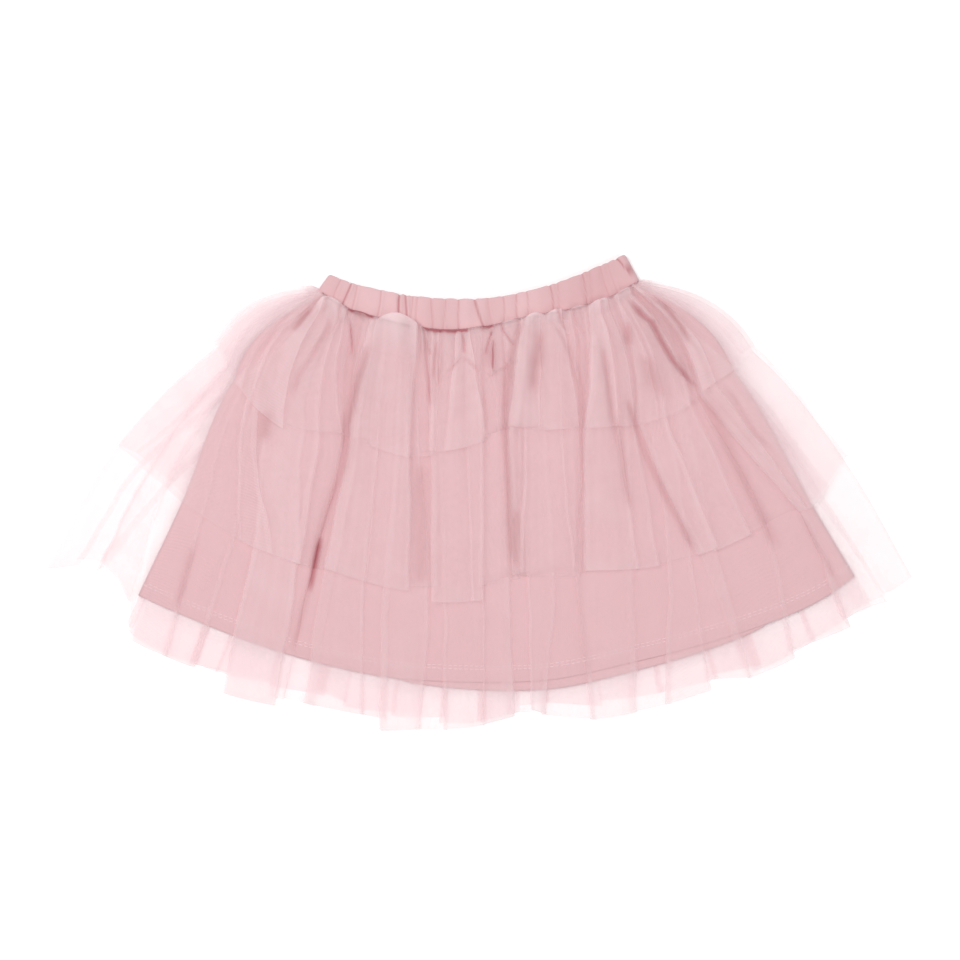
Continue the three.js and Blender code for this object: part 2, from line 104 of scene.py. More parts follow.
# The waist seam and the hems, each a curve y(x) from one side fold to the other
SEAM = curve(
    (-125, 156), (-117, 149), (-100, 138.5), (-75, 130.5), (-48, 124), (-20, 121.5),
    (10, 125), (38, 131.5), (75, 138.5), (100, 147), (122, 160),
)
SHORT_HEM = curve(
    (-200.5, 116.5), (-192, 102), (-183, 85), (-163, 63), (-135, 46), (-100, 40), (-60, 33),
    (-20, 33), (20, 42), (100, 50), (139, 59), (165, 72), (191, 91), (208, 112),
)
MID_HEM = curve(
    (-273, 38), (-247, 17), (-223, -6), (-201, -21), (-171, -39), (-127, -55), (-84, -66),
    (-40, -71), (0, -70), (80, -60), (163, -46), (199, -31), (229, -15), (250, -9), (275, 28),
)
LINING_HEM = curve(
    (-256, -76), (-232, -87), (-165, -113.5), (-97, -132.5), (-44, -140), (49, -140),
    (117, -126), (173, -111.5), (222, -95), (255, -80), (281, -62),
)
LONG_HEM = curve(
    (-324, -56), (-284, -59), (-271, -80), (-261, -108), (-193, -141), (-135, -156),
    (-75, -171), (-11, -175), (45, -168), (117, -159), (174, -143), (225, -126),
    (270, -102), (294, -86), (308.5, -77.5), (324, -62.5),
)
LEVELS = {"seam": SEAM, "short": SHORT_HEM, "mid": MID_HEM, "lining": LINING_HEM, "long": LONG_HEM}

# The outermost lines bow out between the seam and the short hem
SIDE_BOW = 11
SEAM_END = 118

# The folds of each tier's front, from left to right. Each row is one edge that shows: which
# side's cloth lies over it, its x at every level, how far the cloth goes back under it at
# the seam, in the middle and at the hem, how high it stands, how far the hem hangs below its
# curve on its left and on its right, and how dense the tulle to its right is.
SHORT_FOLDS = table("""
over seam  short  lapSeam lapMid lapHem rise left right full
R    -121  -190   1       4      5      0.8  0    2     1.0
L    -118  -178   1       3      3      1.2  1    0     1.5
L    -116  -169   5       3      0.5    2.5  2    2     1.7
L    -110  -145   8       9      6      3.0  3    -1    0.8
L    -97   -100.5 2       3      3      3.0  -5   -3    0.55
R    -81   -97    8       9      8      4.0  -3   -2    1.0
L    -44   -51.4  7       6      5      4.0  6    5     0.8
R    -36.5 -37    3       3      3      2.0  4    0.5   1.0
L    -29   -31    3       2      1      2.0  1    1     0.9
R    -18   -26    3       5      5      2.5  1    1     1.3
L    -7    6.5    3       5      5      2.5  -1   -5    0.5
R    8     13     3       2      0.8    2.0  -5   -5    0.6
R    30    20     7       9      9      4.5  -4   -8.5  1.35
L    46    45     2       3      1      1.5  -2   -2    1.2
L    61    75     3       4      4      3.5  -2   -2    0.5
R    80    77     8       6      4      4.5  -2   -1    1.3
L    89    104    4       4      4      2.5  0    0     1.1
L    94    116.5  3       4      4      2.0  2    2     0.75
L    102   133    3       3      1      2.0  2    2     0.65
L    109.5 158.6  3       4      5      4.0  2    0     0.45
R    112.5 164.6  3       5      7      4.5  -2   -4    1.3
L    115.5 177    3       4      2      2.5  -4   -4    1.15
L    118   195    1       4      4      1.0  -2   0     0.6
""")
MID_FOLDS = table("""
over seam   short  mid    lapSeam lapMid lapHem rise left right full
R    -120   -190   -254   1       2      2      0.5  0    3     1.0
L    -117.5 -184   -233   1       2      2      0.6  0    0     1.0
R    -113   -173   -181   2       3      2      1.2  0    0     1.1
L    -110   -164   -154   2       5      5      1.2  0    0     1.2
L    -99    -117   -133.5 3       5      6      2.0  0    0     0.8
L    -92    -100.5 -125   2       2      2      3.0  0    0     0.4
R    -85    -97    -117   6       9      9      4.0  -2   -3    1.25
L    -66    -74    -84    2       2      1      1.0  0    0     1.2
L    -50    -51    -51.5  5       5      4      3.0  3    0     0.7
R    -38    -36.5  -36.4  4       5      5      2.5  -2   10    1.1
R    -12    -10    -6.4   2       2      2      1.2  10   10    1.2
L    2      3.4    3.4    2       3      4      2.0  10   -1    0.9
R    17     20     24.4   4       6      7      3.5  -3   -6.5  1.2
R    31     33     29.5   2       3      3      1.5  -6   -5    1.1
L    58     62     72     1       2      2.5    1.2  1    1     1.1
L    69     75.5   76     3       3      3      3.0  1    0     0.45
R    76     77.5   78     5       5      5      4.0  -2   -2.6  1.25
L    90     104.6  120    4       4      3      2.0  2    2     1.0
L    97     116.6  135    3       4      5      2.5  2    1     0.45
R    99.5   118    163    3       5      6      3.0  -1   0     1.2
L    105    139    179    2       4      5      1.5  -1   1     1.1
L    110    158.5  204    3       4      5      3.0  1.6  0     0.4
R    113    165    238    3       6      8      4.0  -1   0     1.3
L    115.5  178    246    2       2      2      1.5  0    0     1.4
L    117.5  193    261    1       4      5      1.0  0    2     1.0
""")
LONG_FOLDS = table("""
over seam  short mid    long   lapSeam lapMid lapHem rise left right full
L    -118  -188  -247   -284   1       2      3      0.6  0    0     1.5
R    -117  -185  -236   -263   1       2      2      0.5  -26  2     1.0
L    -113  -176  -206   -233.6 1       3      4      0.6  -3   -2    1.1
R    -111  -168  -185.6 -217   2       3      4      0.6  -3   -5    0.8
R    -108  -158  -170   -193   2       4      5      0.9  -8.6 8     2.0
L    -100  -130  -135   -152.6 3       5      5      0.9  7    1.5   0.7
L    -91   -101  -124.5 -146.6 2       2      2      1.5  1    0     0.4
R    -84   -97   -117   -132   6       8      8      1.8  0    0     1.2
L    -67   -76   -85    -86.6  2       3      3      0.7  -3   -3    1.1
R    -58   -62   -71.6  -75.4  2       5      6      0.9  -3.4 6.4   1.3
L    -45   -44   -36.4  -44.6  3       4      4      0.9  2    2     0.6
R    -33   -31   -27.4  -27.4  2       3      3      0.7  2    1.5   0.95
L    -3    2     4      3.4    2       2      1.5    1.5  -0.7 -1    1.3
L    17    20    23.6   26.3   3       5      6      1.2  -4   -7    0.6
R    25    29    35.6   38.6   2       2      2      0.6  -5   -7    1.1
L    45    50    57.4   49.1   2       4      4      0.7  -2   -2    0.7
R    70    76    72.4   82.9   4       4      4      1.5  5.6  5.6   1.0
L    97    112   115.9  118    3       6      6      1.2  5    4     0.6
R    101   126   140    139    2       4      4      0.7  4.4  4.4   1.1
L    104   140   158    173.6  2       4      4      0.7  4.4  -5.4  1.0
L    107   152   177.4  204    2       13     3      0.9  3.5  3.5   0.9
L    110   163   215    236.6  1       4      5      0.6  2.6  -5    0.8
R    112.5 172   239    270    2       6      7      1.2  2.6  -8    1.4
L    115   190   257    306.4  1       4      5      0.6  1.6  -7    0.8
""")

# Each tier: its folds, levels, rows and step of columns, and how far its cloth swells up
# between folds. Beside the lining the gathers spread out: how full the cloth looks there,
# and at the side folds. Last the x of both side folds at every level.
TIERS = {
    "short": {"folds": SHORT_FOLDS, "levels": ["seam", "short"], "rows": 50, "step": 1.3, "swell": 2.4,
              "beside": [0.38, 0.3],
              "left": [-124.5, -200.5], "right": [122, 208]},
    "mid": {"folds": MID_FOLDS, "levels": ["seam", "short", "mid"], "rows": 60, "step": 2, "swell": 1.3,
            "beside": [0.52, 0.42],
            "left": [-122, -198.5, -273], "right": [119.5, 206, 275]},
    "long": {"folds": LONG_FOLDS, "levels": ["seam", "short", "mid", "long"], "rows": 76, "step": 2.2,
             "swell": 0.8, "beside": [0.68, 0.55],
             "left": [-119.5, -196.4, -270.5, -324], "right": [117.5, 204, 273, 324]},
}

# Where each level lies along the cloth, as a share of the long tier's length
LEVEL_SHARE = {"seam": 0, "short": 0.3, "mid": 0.64, "lining": 0.88, "long": 1}

# Length of the cloth down to each hem, and the width of the line that shows along a raw hem
CLOTH_LENGTH = {"short": 95, "mid": 200, "lining": 262, "long": 300}
HEM_LINE = 1.2

# Stretches of the waist seam that show, with a dark line of painted shade, as x from and to
SEAM_MARKS = [(-99, -77), (-47, -7), (0, 12)]

# Bulges of the gathers up over the lower edge of the waistband: x of the middle, half the
# width, and how far they reach past the seam
PUFFS = [
    (-57.5, 19, 8), (-106, 9, 3.5), (-88, 6, 1), (-1, 7, 0.8), (22, 9, 1.5), (41, 8, 2.5), (57, 8, 2.5),
    (73, 8, 2), (89, 9, 2.5), (105, 8, 2),
]
PUFF_HEIGHT = 3.5

# The gathers end inside the waistband: how far up, at what height in front and at the back,
# and between which x
TUCK_DEPTH = 2.5
FRONT_TUCK = 6.2
BACK_TUCK = 2.4
BAND_REACH = (-118, 116.5)

# Creases narrower than this half width are fine ones
FINE_CREASE = 1.5

# A crease fades out at either end over this length at most
CREASE_FADE = 14

# Creases and ridges of the front, placed one by one. Each runs through points in plan, from its
# upper end down, with its half width, how deep it goes, and how dark the light is lost in it.
# A ridge has a depth below zero.
CREASES = crease_table("""
half deep  dark  points
3.0  3.5   0.36  -81,114 -92,81 -99,51 -100,33 -103,18 -112,-9 -120,-36 -125,-65 -131,-84 -141,-121
2.6  2.5   1.0   -117,-28 -119.5,-36 -122.5,-50 -124.5,-62 -128,-78
1.8  2.4   0.15  53,130 64,115 68,104 73,89 76,74 76,48 76,31 75,-16 75,-44 76,-78 79,-110 81,-140
1.8  3.5   0.7   110,147 122,132 128,128 135,114 144,99 154,87 165,76
5.0  0.4   0.3   165,76 174,60 184,38 200,5 213,-20 224,-44
7.0  0.8   0.26  121,106 126,95 131,82 136,70
2.2  2.5   0.45  122,151 138,141 150,125 158,110
2.4  2.5   0.5   -125,139 -132,130 -139,121
2.2  2.0   0.3   -109,135 -114,119 -125,102 -135,88 -141,70
0.9  2.4   1.0   -98,136 -96,124 -95,113 -95,99
1.2  2.0   0.55  -47,123 -40,112 -36,102
1.1  2.2   0.6   -42,117 -40,104 -38,85 -37,60
1.1  2.0   0.6   -32,119 -33,103 -35,80
1.1  1.8   0.5   -28,119 -29,100 -31,76
1.0  1.6   0.45  -46,119 -44,110 -43,98
0.8  2.6   1.0   10,124 7.5,116 3.5,101
0.8  2.4   1.0   10.5,118 10,108 10,89
3.0  0.6   0.25  9,112 8,104 7,94
0.8  2.2   0.85  15,126 20,118 26,109
0.9  1.8   0.5   24,97 16,92 8,87
1.8  -1.6  0     27,101 18,95.5 9,91
1.0  1.8   0.6   -12.5,120 -11.5,112 -11,103
3.5  1.4   0.3   42,108 42,95 42,80
1.2  1.4   0.35  -13,102 -19,95 -26,87
1.2  1.4   0.35  -13,102 -5,96 2,89
1.3  1.4   0.3   2,89 5,64 7,42
1.3  1.2   0.25  -13,122 -12,112 -13,102
1.3  1.6   0.4   57,134 62,127 66,120
1.3  1.6   0.35  68,137 73,126 80,116
1.3  1.6   0.35  -117,149 -127,138 -140,124
1.4  1.6   0.35  -101,139 -105,128 -112,116
1.4  1.6   0.35  114,152 122,142 132,132
2.0  2.5   0.35  33,131 27,116 23,102 20,78 19,46 22,3 24,-54
3.6  1.5   0.35  27,-8 27,-35 27,-61
4.0  2.0   0.3   45,125 45,115 44,100 41,90 41,72
1.4  1.0   0.2   4,40 4,-40 4,-110 4,-147
6.5  1.0   0.25  -44,27 -44,-20 -44,-72
2.0  2.0   0.3   92,110 95,91 99,59 105,36 109,6 114,-14
2.6  1.8   0.35  109,74 117,50 125,27 135,6 144,-12 162,-46
2.6  2.0   0.4   110,127 111,110
2.0  1.5   0.25  182,84 195,63 207,44 222,29
2.0  1.2   0.25  238,-12 249,-33 259,-50 270,-70
3.0  1.2   0.3   -213,-36 -220,-60 -227,-89
6.0  1.5   0.3   -159,62 -160,50 -162,38
1.6  -1.2  0     9,108 9,93
1.8  -1.4  0     30,50 30,20 30,-10
1.4  -1.2  0     -9,3 -9,-40 -9,-80
2.0  -1.6  0     -175,65 -180,40 -180,29 -177,12
1.8  -1.4  0     -172,40 -166,18 -161,-1
2.0  -1.4  0     -208,-25 -218,-53 -228,-81
2.0  -1.4  0     -187,-36 -200,-60 -213,-81
1.8  -1.2  0     -33,46 -25,45 2,64
""")


# Sheets of cloth in plan

def row_places(levels, rows):
    """Places of a sheet's rows along it, from 0 to 1: closer at the seam, and one by the hem."""
    stops = level_stops(levels)
    even = np.linspace(0, 1, rows) ** 1.35
    near_hem = 1 - HEM_LINE / CLOTH_LENGTH[levels[-1]]
    return np.unique(np.concatenate([even, stops, [near_hem]]))


def level_stops(levels):
    """Where each level lies along a sheet, from 0 to 1."""
    stops = np.array([LEVEL_SHARE[name] for name in levels], float)
    return stops / stops[-1]


def level_weights(levels, rows):
    """How much each level counts at each row of a sheet, as a matrix of rows and levels."""
    stops, places = level_stops(levels), row_places(levels, rows)
    return places, np.array([curve(*zip(stops, unit))(places) for unit in np.eye(len(levels))]).T


def edge_line(levels, rows, xs):
    """The x of a line at each row, from its x at each level."""
    _, weights = level_weights(levels, rows)
    return weights @ np.array(xs, float)


def plan_points(x, drop, levels, rows):
    """The y of a sheet's points from their x, column by column, and the bowed x."""
    places, weights = level_weights(levels, rows)
    stops = level_stops(levels)
    level_rows = np.searchsorted(places, stops)
    y_levels = np.array([LEVELS[name](x[:, r]) for name, r in zip(levels, level_rows)]).T
    y_levels[:, -1] -= drop
    y = y_levels @ weights.T
    share = np.clip(places / stops[1], 0, 1)
    bow = SIDE_BOW * np.minimum(np.abs(x[:, :1]) / SEAM_END, 1) ** 3 * 4 * share * (1 - share)
    along = np.stack([x[:, level_rows[1]] - x[:, 0], y[:, level_rows[1]] - y[:, 0]], -1)
    along /= np.linalg.norm(along, axis=-1, keepdims=True)
    side = np.sign(x[:, :1])
    return x - along[:, 1:] * side * bow, y + along[:, :1] * side * bow


# Height of the solids

# Step of the grids of heights in mm, and how far outside a node its rays start in metres
GRID_STEP = 2.5
RAY_START = 0.01


class HeightField:
    """The upper or the lower face of a CAD node, softened, as z over x and y in mm."""

    def __init__(self, node, above=True, blur=2.5, fill=None):
        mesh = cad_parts[node].data
        tree = BVHTree.FromPolygons(
            [v.co for v in mesh.vertices], [p.vertices for p in mesh.polygons])
        low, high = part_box(node)
        self.origin = np.array(low[:2]) / MM - GRID_STEP
        size = (np.array(high[:2]) / MM + GRID_STEP - self.origin) / GRID_STEP
        nx, ny = np.ceil(size).astype(int) + 1
        start, way = (high.z + RAY_START, -1) if above else (low.z - RAY_START, 1)
        z = np.full((nx, ny), np.nan)
        for i, j in np.ndindex(nx, ny):
            x, y = (self.origin + np.array([i, j]) * GRID_STEP) * MM
            hit = tree.ray_cast(Vector((x, y, start)), Vector((0, 0, way)))[0]
            if hit is not None:
                z[i, j] = hit.z / MM
        z = filled(z) if fill is None else np.where(np.isnan(z), fill, z)
        self.z = blurred(z, blur / GRID_STEP)

    def __call__(self, x, y):
        i, j = (x - self.origin[0]) / GRID_STEP, (y - self.origin[1]) / GRID_STEP
        i, j = (np.clip(k, 0, count - 1.001) for k, count in zip((i, j), self.z.shape))
        return between(self.z, i, j, lambda part: part)


def between(grid, i, j, ease):
    """The value of a grid between its points, at places counted in its steps."""
    i0, j0 = i.astype(int), j.astype(int)
    a, b = ease(i - i0), ease(j - j0)
    near = grid[i0, j0] * (1 - a) + grid[i0 + 1, j0] * a
    far = grid[i0, j0 + 1] * (1 - a) + grid[i0 + 1, j0 + 1] * a
    return near * (1 - b) + far * b


def filled(z):
    """Gives the places that no ray hit the mean of their neighbours, from the rim outwards."""
    z = z.copy()
    while np.isnan(z).any():
        wide = np.pad(z, 1, constant_values=np.nan)
        around = np.stack([wide[:-2, 1:-1], wide[2:, 1:-1], wide[1:-1, :-2], wide[1:-1, 2:]])
        known = ~np.isnan(around)
        mean = np.where(known, around, 0).sum(0) / np.maximum(known.sum(0), 1)
        rim = np.isnan(z) & known.any(0)
        z[rim] = mean[rim]
    return z


def blurred(z, sigma):
    """A soft blur along both axes."""
    reach = int(3 * sigma) + 1
    kernel = np.exp(-0.5 * (np.arange(-reach, reach + 1) / sigma) ** 2)
    kernel /= kernel.sum()
    for axis in (0, 1):
        wide = np.pad(z, [(reach, reach) if a == axis else (0, 0) for a in (0, 1)], mode="edge")
        z = np.apply_along_axis(lambda line: np.convolve(line, kernel, "valid"), axis, wide)
    return z


# Random lines that vary softly

def soft_noise(rng, places, wavelength):
    """Smooth noise from -1 to 1 along the given places in mm."""
    knots = int(places[-1] / wavelength) + 4
    values = rng.uniform(-1, 1, knots)
    steps = places / wavelength
    i = steps.astype(int)
    return values[i] + (values[i + 1] - values[i]) * smooth(steps - i)


def soft_noise_2d(rng, u, v, wave_u, wave_v):
    """Smooth noise from -1 to 1 over two coordinates in mm."""
    i, j = u / wave_u, v / wave_v
    grid = rng.uniform(-1, 1, (int(i.max()) + 3, int(j.max()) + 3))
    return between(grid, i, j, smooth)


# The lining's top, and the height of what the tulle lies on beside and below it
lining_top = HeightField("lining_front", blur=1.5, fill=1.2)


# Tulle

# Columns of cloth in the turn of a fold
TURN_STEPS = 4

# Cloth between two folds swells up softly, in full where it is this wide or wider. The swell
# sinks over this length below the seam.
SWELL_WIDTH = 12
SWELL_LENGTH = 55

# Beside the lining the gathers spread out over this length below the seam
SPREAD_LENGTH = 12

# The side edges of the lining at every level
LINING_EDGES = {
    "seam": (-114.5, 114), "short": (-183, 190.5), "mid": (-222.5, 249.3), "lining": (-255.5, 281),
    "long": (-261, 294),
}

# Each of the three layers at a fold counts this much, as the cloth is stretched there
LAP_FULLNESS = 0.4

# How the edge of a fold wanders from its line: how far, over what wavelength, and in full
# from how far below the seam
WANDERS = [(0.9, 22, 25), (0.135, 9, 12)]

# The shade under the edge of a fold: how far it reaches, and how dark it is for its height
SHADE_REACH = 3.2
SHADE_PER_RISE = 0.07
SHADE_MOST = 0.3

# Below the lining the tulle keeps its gathers, and looks fuller by this much
FREE_HEM_FULLNESS = 1.5

# Ripples of the cloth: the length of their waves across and along it, and their height in the
# open cloth and on top of that at the gathers, which loosen over this length
FINE = {"across": 6, "along": 60, "open": 0.05, "gathered": 0.35}
BROAD = {"across": 15, "along": 80, "open": 0.35, "gathered": 0.8}
GATHER_LENGTH = 26
BACK_SWELL = 0.2

# Steps round a side fold, how far it bulges at most, and how wide the slope is beside the lining
ARC_STEPS = 5
ARC_BULGE = 1.5
EDGE_SLOPE = 16

# Columns in a fold lie this far apart along the cloth at least
LEAST_STEP = 0.4

# The line along a raw hem is this dark
HEM_DARK = 0.18

# The least height of each tier over the lining
CLEARANCE = {"long": 0.5, "mid": 0.9, "short": 1.3}

# The cloth lies this far inside the faces of its solid. At the seam it dips: everywhere, on
# top of that where the seam shows, and over which length.
FRONT_SINK = 0.5
BACK_SINK = 0.35
SEAM_DIP = 0.6
OPEN_DIP = 1.6
DIP_LENGTH = 2.2


def fold_columns(fold, levels, weights, places, rng):
    """The columns of cloth round one fold: x, height over the solid and hem drop of each.

    The cloth turns at the edge that shows and again under it, each time by half a circle."""
    edge = weights @ np.array([fold[name] for name in levels])
    down = places * CLOTH_LENGTH[levels[-1]]
    for wander, wavelength, start in WANDERS:
        edge += wander * soft_noise(rng, down, wavelength) * smooth(down / start)
    lap = np.interp(places, [0, 0.6, 1], [fold["lapSeam"], fold["lapMid"], fold["lapHem"]])
    standing = fold["rise"] * (0.35 + 0.65 * np.sin(np.pi * np.clip(places * 1.1 + 0.12, 0, 1)))
    rise = standing * smooth(lap / 2)
    radius = np.minimum(rise / 4, lap / 2.2)
    over_left = fold["over"] == "L"
    way = -1 if over_left else 1
    shown, hidden = (fold["left"], fold["right"])[::-way]
    columns = []
    for start, turn, height, drop in [(0, 1, 0.75, shown), (lap, -1, 0.25, hidden)]:
        for angle in np.linspace(np.pi / 2, -np.pi / 2, TURN_STEPS + 1):
            inward = start + turn * radius * (1 - np.cos(angle))
            columns.append((edge + way * inward, height * rise + rise / 4 * np.sin(angle), drop))
    return columns if over_left else columns[::-1]


def spread_columns(start, end, count, swell):
    """Columns between two others, evenly spread, with a soft swell of the cloth."""
    columns = []
    for i in range(1, count):
        t = i / count
        x, lift, drop = (a + (b - a) * t for a, b in zip(start, end))
        columns.append((x, lift + swell * math.sin(math.pi * t), drop))
    return columns


def run_columns(tier, folds, swell, rng):
    """All columns across one side of a tier, from its left side fold to its right one."""
    spec = TIERS[tier]
    places, weights = level_weights(spec["levels"], spec["rows"])
    swell = swell * (0.4 + 0.6 * np.exp(-places * CLOTH_LENGTH[tier] / SWELL_LENGTH))
    ends = [[(weights @ np.array(spec[side]), 0 * places, 0.0)] for side in ("left", "right")]
    groups = [(ends[0], 1.0)]
    groups += [(fold_columns(fold, spec["levels"], weights, places, rng), fold["full"]) for fold in folds]
    groups += [(ends[1], 1.0)]
    columns, full, spans = [], [], []
    for (group, group_full), following in zip(groups, groups[1:] + [None]):
        spans.append((len(columns), len(columns) + len(group) - 1))
        columns += group
        full += [group_full * (LAP_FULLNESS if len(group) > 1 else 1)] * len(group)
        if following is None:
            break
        start, end = group[-1], following[0][0]
        width = np.abs(end[0] - start[0])
        here = swell * np.minimum(width / SWELL_WIDTH, 1)
        between_folds = spread_columns(start, end, max(2, int(width.max() / spec["step"]) + 1), here)
        columns += between_folds
        full += [group_full] * len(between_folds)
    x, lift, drop = (np.array(values) for values in zip(*columns))
    return x, lift, drop, np.array(full), fold_shades(folds, x, spans)


def fold_shades(folds, x, spans):
    """How dark the cloth is that lies just under the edge of a fold."""
    shade = np.zeros_like(x)
    for k, fold in enumerate(folds):
        first, last = spans[k + 1]
        over_left = fold["over"] == "L"
        edge = x[first + TURN_STEPS // 2] if over_left else x[last - TURN_STEPS // 2]
        under = slice(last, spans[k + 2][0]) if over_left else slice(spans[k][1] + 1, first + 1)
        away = (x[under] - edge) * (1 if over_left else -1)
        near = np.where(away > -1, np.exp(-np.maximum(away, 0) / SHADE_REACH), 0)
        shade[under] = np.maximum(shade[under], near * min(SHADE_PER_RISE * fold["rise"], SHADE_MOST))
    return shade


def back_folds(tier, rng):
    """Pleats for the back of a tier, which lies on the floor: like the front's, and flatter."""
    spec = TIERS[tier]
    folds = []
    t = 0.03
    while t < 0.97:
        lap = rng.uniform(2, 7)
        fold = {"over": rng.choice(["L", "R"]), "rise": rng.uniform(0.3, 0.8), "full": rng.uniform(0.7, 1.2)}
        shift = 0
        for name, left, right in zip(spec["levels"], spec["left"], spec["right"]):
            fold[name] = left + (right - left) * (t + shift)
            shift += rng.uniform(-0.006, 0.006)
        fold |= {"lapSeam": 1, "lapMid": lap, "lapHem": lap * rng.uniform(0.5, 1.2)}
        hang = rng.uniform(-10, -1)
        fold |= {"left": hang, "right": hang + rng.uniform(-5, 5)}
        folds.append(fold)
        t += rng.uniform(0.035, 0.07)
    return folds


def seam_puff(x, y, z, down):
    """Lifts the gathers of the short tier over the lower edge of the waistband.

    The cloth goes up under itself and comes back over it. The result is where it is lifted,
    from 0 to 1."""
    lifted = 0 * x
    for middle, half, reach in PUFFS:
        across = np.cos(np.pi / 2 * np.clip((x[:, :1] - middle) / half, -1, 1)) ** 0.55
        part = np.clip(down / (3 * reach), 0, 1)
        y += across * np.sin(np.pi * part) * 2.3 * reach
        z += across * np.sin(np.pi * part ** 1.5) * min(reach, PUFF_HEIGHT)
        lifted = np.maximum(lifted, across * np.sin(np.pi * part ** 0.8) * min(reach / 4, 1))
    return lifted


def crease_marks(x, y, tier):
    """How deep the creases are at each point of a sheet, and how dark the shade painted in them is.

    The fine ones lie in the short tier alone."""
    deep, dark = np.zeros_like(x), np.zeros_like(x)
    for crease in CREASES:
        if crease["half"] < FINE_CREASE and tier != "short":
            continue
        cx, cy = crease["x"], crease["y"]
        middle = np.interp(y, cy[::-1], cx[::-1])
        tilt = np.interp(y, cy[::-1], np.abs(np.gradient(cx, cy))[::-1])
        fade = min(CREASE_FADE, (cy[0] - cy[-1]) / 3)
        ends = smooth((cy[0] + 2 - y) / fade) * smooth((y - cy[-1] + 2) / fade)
        near = np.exp(-((x - middle) / (crease["half"] * np.hypot(1, tilt))) ** 2) * ends
        deep += crease["deep"] * near
        dark = np.maximum(dark, crease["dark"] * near)
    return deep, dark


def lining_edges(levels, rows):
    """The x of both side edges of the lining at each row."""
    return [edge_line(levels, rows, [LINING_EDGES[name][side] for name in levels]) for side in (0, 1)]


def spread_share(x, spec, down):
    """How full the cloth looks at each point: less beside the lining, least at the side folds."""
    left, right = lining_edges(spec["levels"], spec["rows"])
    first, last = spec["beside"]
    beyond = np.maximum(left - x, x - right)
    widest = np.where(x < 0, left - x.min(0), x.max(0) - right)
    share = np.clip(beyond / np.maximum(widest, 8), 0, 1)
    thin = first + (last - first) * share
    return 1 + (thin - 1) * smooth(beyond / 2.5 + 0.5) * smooth(down / SPREAD_LENGTH)


def open_seam(x):
    """Where the waist seam shows, from 0 to 1, in a few stretches between the gathers."""
    shown = np.zeros_like(x)
    for start, end in SEAM_MARKS:
        shown = np.maximum(shown, smooth((x - start) / 3) * smooth((end - x) / 3))
    return shown


def seam_shade(x, down):
    """Painted shade under the lower edge of the waistband, a dark ragged line along the seam: strong where
    the seam shows and faint elsewhere.
    """
    strong = open_seam(x[:, :1])
    ragged = 1.1 + 0.5 * np.sin(x[:, :1] / 1.1) * np.sin(x[:, :1] / 2.9 + 1)
    dark = (0.12 + 0.85 * strong) * smooth(1.5 - down / (ragged * (0.6 + strong)))
    dark[:, 0] *= 0.4
    return dark


def tucked_in(x, y, z, height):
    """The first row of a tier, which lies inside the lower edge of the waistband."""
    x[:, 0] = np.clip(x[:, 0], *BAND_REACH)
    y[:, 0] = SEAM(x[:, 0]) + TUCK_DEPTH
    z[:, 0] = height


def side_arc(front, back):
    """Columns of points round a side fold, from the front's end column to the back's."""
    columns = []
    for t in np.arange(1, ARC_STEPS) / ARC_STEPS:
        column = front + (back - front) * t
        bulge = np.minimum(np.abs(front[:, 2] - back[:, 2]) / 2, ARC_BULGE) * np.sin(np.pi * t)
        column[:, 0] += np.sign(front[0, 0]) * bulge
        column[:, 2] = front[:, 2] + (back[:, 2] - front[:, 2]) * (0.5 - 0.5 * np.cos(np.pi * t))
        columns.append(column)
    return np.array(columns)


def draped_height(node, x, y, levels, rows):
    """The top of a tier's solid, with a longer slope down from the side edges of the lining."""
    left, right = lining_edges(levels, rows)
    at_edge = np.exp(-((x - left) / EDGE_SLOPE) ** 2) + np.exp(-((x - right) / EDGE_SLOPE) ** 2)
    crisp, soft = HeightField(node), HeightField(node, blur=EDGE_SLOPE / 2)
    return crisp(x, y) + (soft(x, y) - crisp(x, y)) * np.clip(at_edge, 0, 1)


def ripples(rng, x, down):
    """Fine and broad ripples over a sheet, each from -1 to 1."""
    cloth = np.concatenate([[0], np.cumsum(np.abs(np.diff(x[:, -1])) + LEAST_STEP)])
    u, v = cloth[:, None] + 0 * x, down + 0 * x
    return [soft_noise_2d(rng, u, v, wave["across"], wave["along"]) for wave in (FINE, BROAD)]


def fullness(full, x, y, spec, down):
    """How full the cloth looks at each point, and whether it lies beside the lining."""
    spread = spread_share(x, spec, down)
    beside = spread <= 0.9
    free = 1 + (FREE_HEM_FULLNESS - 1) * smooth((LINING_HEM(x) - y) / 6) * ~beside
    gathered = 1 + 0.4 * np.exp(-down / GATHER_LENGTH)
    return full[:, None] * gathered * spread * free, beside


